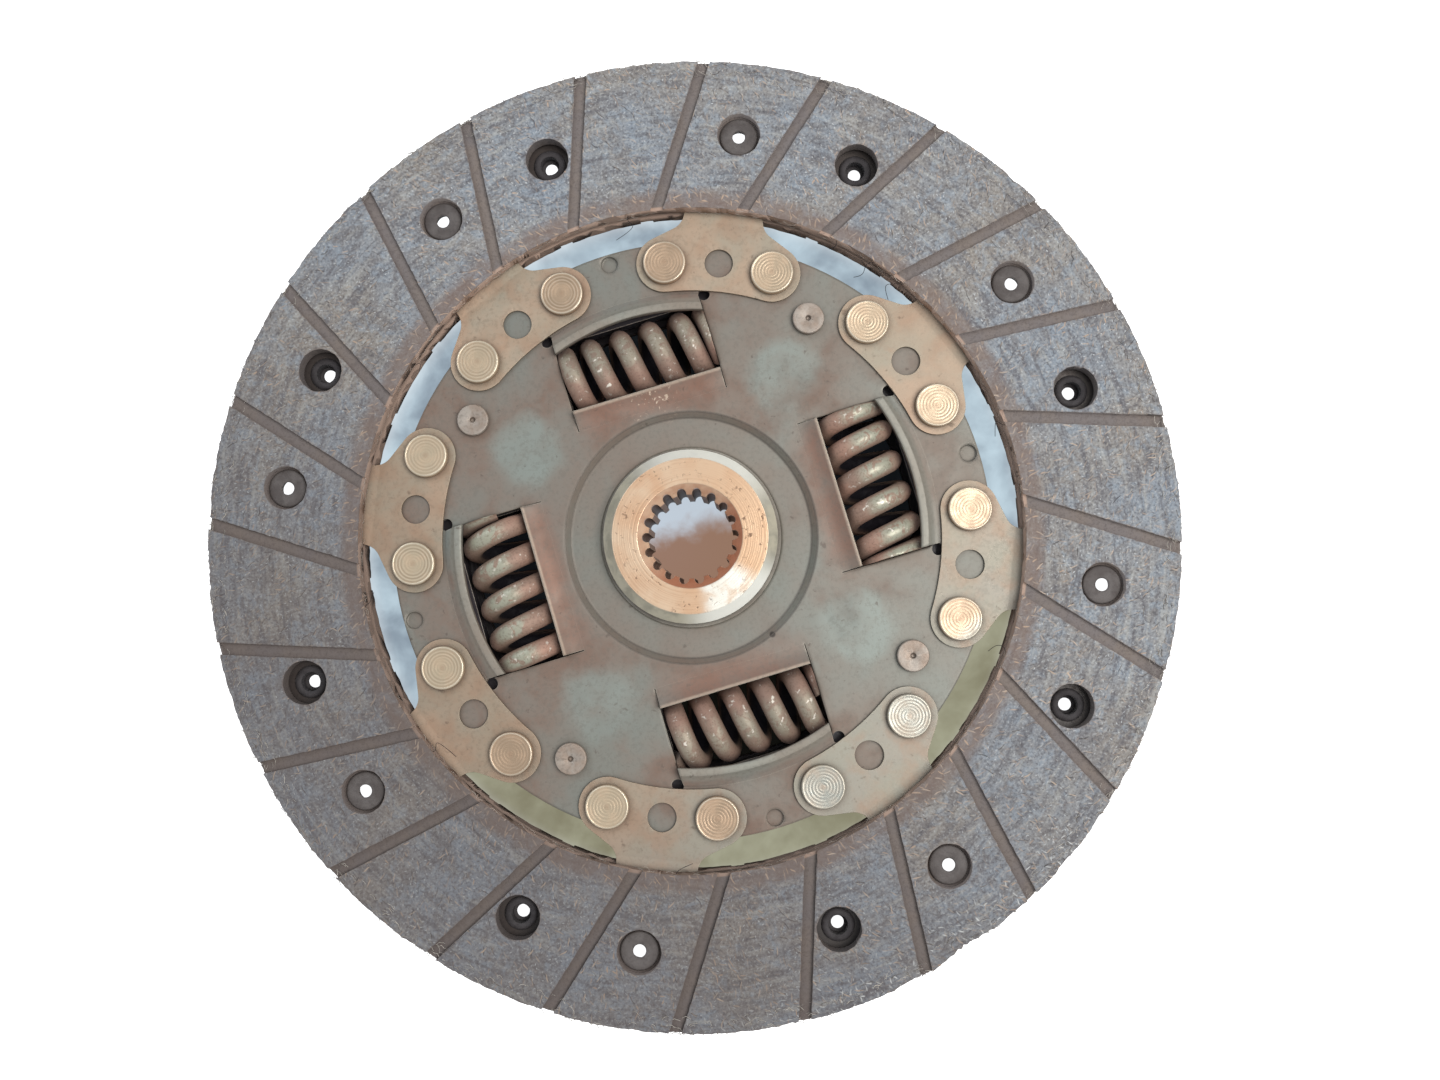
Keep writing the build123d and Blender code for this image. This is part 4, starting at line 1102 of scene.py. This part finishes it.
def head_profile():
    """Section of a segment rivet, from the middle of its rippled front head to its rear head."""
    top = HEAD_T + SEGMENT_T / 2
    rim = HEAD_R - 0.45
    count = 56
    points = [(0.0, top - 0.10)]
    for k in range(1, count + 1):
        radius = rim * k / count
        share = radius / rim
        fade = min(1.0, 3 * (1 - share) + 0.3) * min(1.0, share * 4)
        ripple = 0.010 * sin(TURN * radius / RING_PITCH) * fade
        points.append((radius, top - 0.10 + 0.06 * share**2 + ripple))
    points += [(rim + 0.06, top), (rim + 0.20, top - 0.01), (rim + 0.34, top - 0.09)]
    points += [(rim + 0.43, top - 0.24), (HEAD_R, top - 0.42), (HEAD_R, SEGMENT_T / 2 - 0.02)]
    rear = CARRIER_TOP - PLATE_T
    points += [(HEAD_R * 0.58, SEGMENT_T / 2 - 0.02), (HEAD_R * 0.58, rear), (HEAD_R, rear)]
    points += [(HEAD_R, rear - HEAD_T + 0.5), (HEAD_R - 0.15, rear - HEAD_T + 0.18)]
    points += [(HEAD_R - 0.5, rear - HEAD_T), (0.0, rear - HEAD_T)]
    return points


def tube_profile():
    """Section of a tubular facing rivet, from its bore over its head to its rolled tail."""
    seat = FACING_TOP - 2.0
    back = 0.8 - SEGMENT_T
    points = [(2.0, back - 0.5), (2.0, seat - 0.3), (1.9, seat), (1.35, seat + 0.15), (1.3, seat + 0.4)]
    points += [(1.42, seat + 0.54), (1.65, seat + 0.6), (3.6, seat + 0.6), (3.88, seat + 0.52)]
    points += [(4.0, seat + 0.3), (3.95, seat), (2.4, seat), (2.4, back), (3.3, back), (3.4, back - 0.2)]
    points += [(3.2, back - 0.5), (2.8, back - 0.68), (2.3, back - 0.66), (2.0, back - 0.5)]
    return points


def fringe(radius, low, high, inset, reach, length, thickness):
    """Lengths of a fringe, given in millimetres; low and high are counted from the facing's top."""
    top = FACING_TOP * MM
    sizes = {"Radius": radius * MM, "Low": top + low * MM, "High": top + high * MM, "Inset": inset * MM}
    return {**sizes, "Reach": reach * MM, "Length": length * MM, "Thickness": thickness * MM}


def build_facings(material, light_fibre):
    for node, upper in (("front_facing", True), ("rear_facing", False)):
        settle(worn_facing(node, upper), "disc", "friction_facing", [node], material)
    outer = fringe(FACING_OUTER_R, -2.6, 0.0, 0.8, 0.3, 2.6, 0.085)
    inner = fringe(FACING_INNER_R, -3.0, 0.0, 0.25, 0.5, 2.0, 0.04)
    lying = fringe(FACING_OUTER_R, -0.02, 0.06, 3.5, -0.2, 2.0, 0.06)
    fringes = {
        "outer_edge_fibres": {**outer, "Count": 1500, "Curl": 0.6, "Seed": 3},
        "inner_edge_fibres": {**inner, "Count": 900, "Curl": 0.6, "Seed": 8},
        "lying_fibres": {**lying, "Count": 1100, "Curl": 0.9, "Seed": 14},
    }
    tree = growth_tree("frayed edge", frayed_edge, {**fringes["outer_edge_fibres"], "Material": light_fibre})
    for name, sizes in fringes.items():
        piece = grown(tree, name, sizes)
        for vertex in piece.data.vertices if name != "inner_edge_fibres" else []:
            vertex.co.xy *= frayed_in(vertex.co, True)
        settle(piece, "disc", "friction_facing", [])


def build_rivets(head_metal, tube_metal, shaded_tail_metal):
    head = add_object("segment_rivet_form", turned_mesh("segment_rivet_form", head_profile(), HEAD_STEPS))
    sizes = {"Rivet": head, "Circle Radius": SEGMENT_RIVET_R * MM, "Groups": SEGMENT_COUNT, "Group Size": 2}
    sizes.update({"Phase": radians(SEGMENT_PHASE), "Half Pitch": radians(SEGMENT_RIVET_HALF_PITCH)})
    sizes.update({"Seat": 0.0, "Tilt": 0.006, "Seed": 5, "Material": head_metal})
    tree = growth_tree("rivet ring", rivet_ring, sizes)
    settle(grown(tree, "segment_rivets_formed", sizes), "disc", "segment_rivet", ["segment_rivets"])
    tube = add_object("facing_rivet_form", turned_mesh("facing_rivet_form", tube_profile(), TUBE_STEPS))
    sizes.update({"Rivet": tube, "Circle Radius": FACING_RIVET_R * MM, "Group Size": 1, "Seed": 9})
    sizes.update({"Phase": radians(HEAD_HOLE_ANGLE), "Half Pitch": 0.0, "Tilt": 0.0})
    # The rolled tails deep in the pockets take the darker copy of the rivet metal, as painted shade.
    rings = (("front_facing_rivets", Matrix(), tube_metal), ("rear_facing_rivets", TURNED_OVER, shaded_tail_metal))
    for node, turned, metal in rings:
        ring = grown(tree, node + "_rolled", {**sizes, "Material": metal})
        ring.data.transform(turned)
        settle(ring, "disc", "facing_rivet", [node])
    for form in (head, tube):
        bpy.data.objects.remove(form)


def build_springs(material):
    sizes = {"Length": SPRING_LENGTH * MM, "Coil Radius": (SPRING_OUTER_R - WIRE_R) * MM}
    sizes.update({"Wire Radius": WIRE_R * MM, "Active Turns": 4.0, "Start": 0.0, "Closed Gap": 0.1 * MM})
    sizes.update({"Ground Share": 0.25, "Steps": 240, "Sides": 18, "Material": material})
    tree = growth_tree("coil spring", coil_spring, sizes)
    for k, (active, lead) in enumerate(COILS):
        name = f"damper_spring_{k + 1}"
        coil = grown(tree, name + "_coiled", {"Active Turns": active, "Start": -TURN * lead})
        turn = Matrix.Rotation(TURN * k / WINDOW_COUNT, 4, "Z")
        centre = Vector((SPRING_CIRCLE_R, 0, SPRING_MID_Z)) * MM
        coil.data.transform(turn @ Matrix.Translation(centre))
        settle(coil, "disc", "spring_steel", [name])
        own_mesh(coil)


def hair(name, points, thickness):
    """One loose hair as a thin smooth tube through points in millimetres."""
    curve = bpy.data.curves.new(name, "CURVE")
    curve.dimensions = "3D"
    curve.bevel_depth = thickness / 2 * MM
    curve.bevel_resolution = 1
    spline = curve.splines.new("NURBS")
    spline.points.add(len(points) - 1)
    for target, point in zip(spline.points, points):
        target.co = (*(Vector(point) * MM), 1)
    spline.use_endpoint_u = True
    spline.order_u = 4
    thing = add_object(name, curve)
    graph = bpy.context.evaluated_depsgraph_get()
    mesh = bpy.data.meshes.new_from_object(thing.evaluated_get(graph))
    bpy.data.objects.remove(thing)
    return mesh


def build_hairs(material):
    """A few dark hairs that have worked out of the facing's bore and lie over the slots."""
    draw = random.Random(4)
    parts = bmesh.new()
    for angle in (3.0, 33.5, 39.0, 47.0, 84.0, 131.0, 176.0, 203.0, 251.0, 322.0):
        reach = draw.uniform(2.5, 5.5)
        points = []
        for step in range(5):
            radius = FACING_INNER_R + 0.4 - reach * step / 4
            swing = angle + draw.uniform(-1.3, 1.3) * (step > 0) + step * draw.uniform(-0.5, 0.9)
            at = radians(swing)
            points.append((radius * cos(at), radius * sin(at), 3.0 + draw.uniform(-0.4, 0.6)))
        parts.from_mesh(hair("hair", points, 0.12))
    mesh = bpy.data.meshes.new("loose_hairs")
    parts.to_mesh(mesh)
    parts.free()
    mesh.shade_smooth()
    settle(add_object("loose_hairs", mesh), "disc", "friction_facing", [], material)


def main():
    bpy.context.scene.view_settings.view_transform = "Standard"
    noise.seed_set(NOISE_SEED)
    add_camera()
    add_stage()

    facing, plate, leaf, head_metal = facing_material(), plate_material(), segment_material(), head_material()
    tube_metal = dull_material("facing rivet", (106, 100, 98), (86, 79, 77), 0.1, 0.65, 3.0, 2.0)
    # A darker copy of the facing rivet metal, as painted shade on the tails deep in the pockets.
    shaded_tail_metal = dull_material("facing rivet, in painted shade", (72, 68, 70), (54, 50, 52), 0.0, 0.75, 3.0, 2.0)
    pin_metal = dull_material("stop pin", (176, 166, 156), (160, 142, 128), 0.4, 0.5, 3.0, 5.0)
    hub_metal, wire = hub_material(), spring_material()
    bush = dull_material("friction bush", (158, 152, 142), (134, 126, 116), 0.0, 0.7, 4.0, 1.0)
    washer = dull_material("washer steel", (150, 144, 134), (128, 112, 98), 0.5, 0.5, 6.0, 3.0)
    light_fibre = fibre_material("facing fibre", (226, 218, 206), (96, 88, 84))
    dark_hair = fibre_material("dark hair", (38, 32, 34), (30, 26, 28))

    build_facings(facing, light_fibre)
    build_rivets(head_metal, tube_metal, shaded_tail_metal)
    build_springs(wire)
    build_hairs(dark_hair)
    # For each rigid piece: its body, its slot, its material, and how far its bends and edges are rounded.
    rigid = {
        "carrier_plate": ("disc", "drive_plate", plate, 0.9, 0.22),
        "retainer_plate": ("disc", "drive_plate", plate, 0.9, 0.22),
        "stop_pins": ("disc", "stop_pin", pin_metal, 0.0, 0.25),
        "hub": ("hub", "hub_steel", hub_metal, 0.12, 0.15),
    }
    for number in range(1, SEGMENT_COUNT + 1):
        rigid[f"cushion_segment_{number}"] = ("disc", "segment_steel", leaf, 0.3, 0.1)
    for node, (body, slot, material, bend, edge) in rigid.items():
        settle(softened(node, bend, edge), body, slot, [node], material)
    kept = {"hub_bush": bush, "rear_friction_washer": bush, "support_washer": washer, "disc_spring": washer}
    for node, material in kept.items():
        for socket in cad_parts[node].material_slots:
            socket.material = material


main()
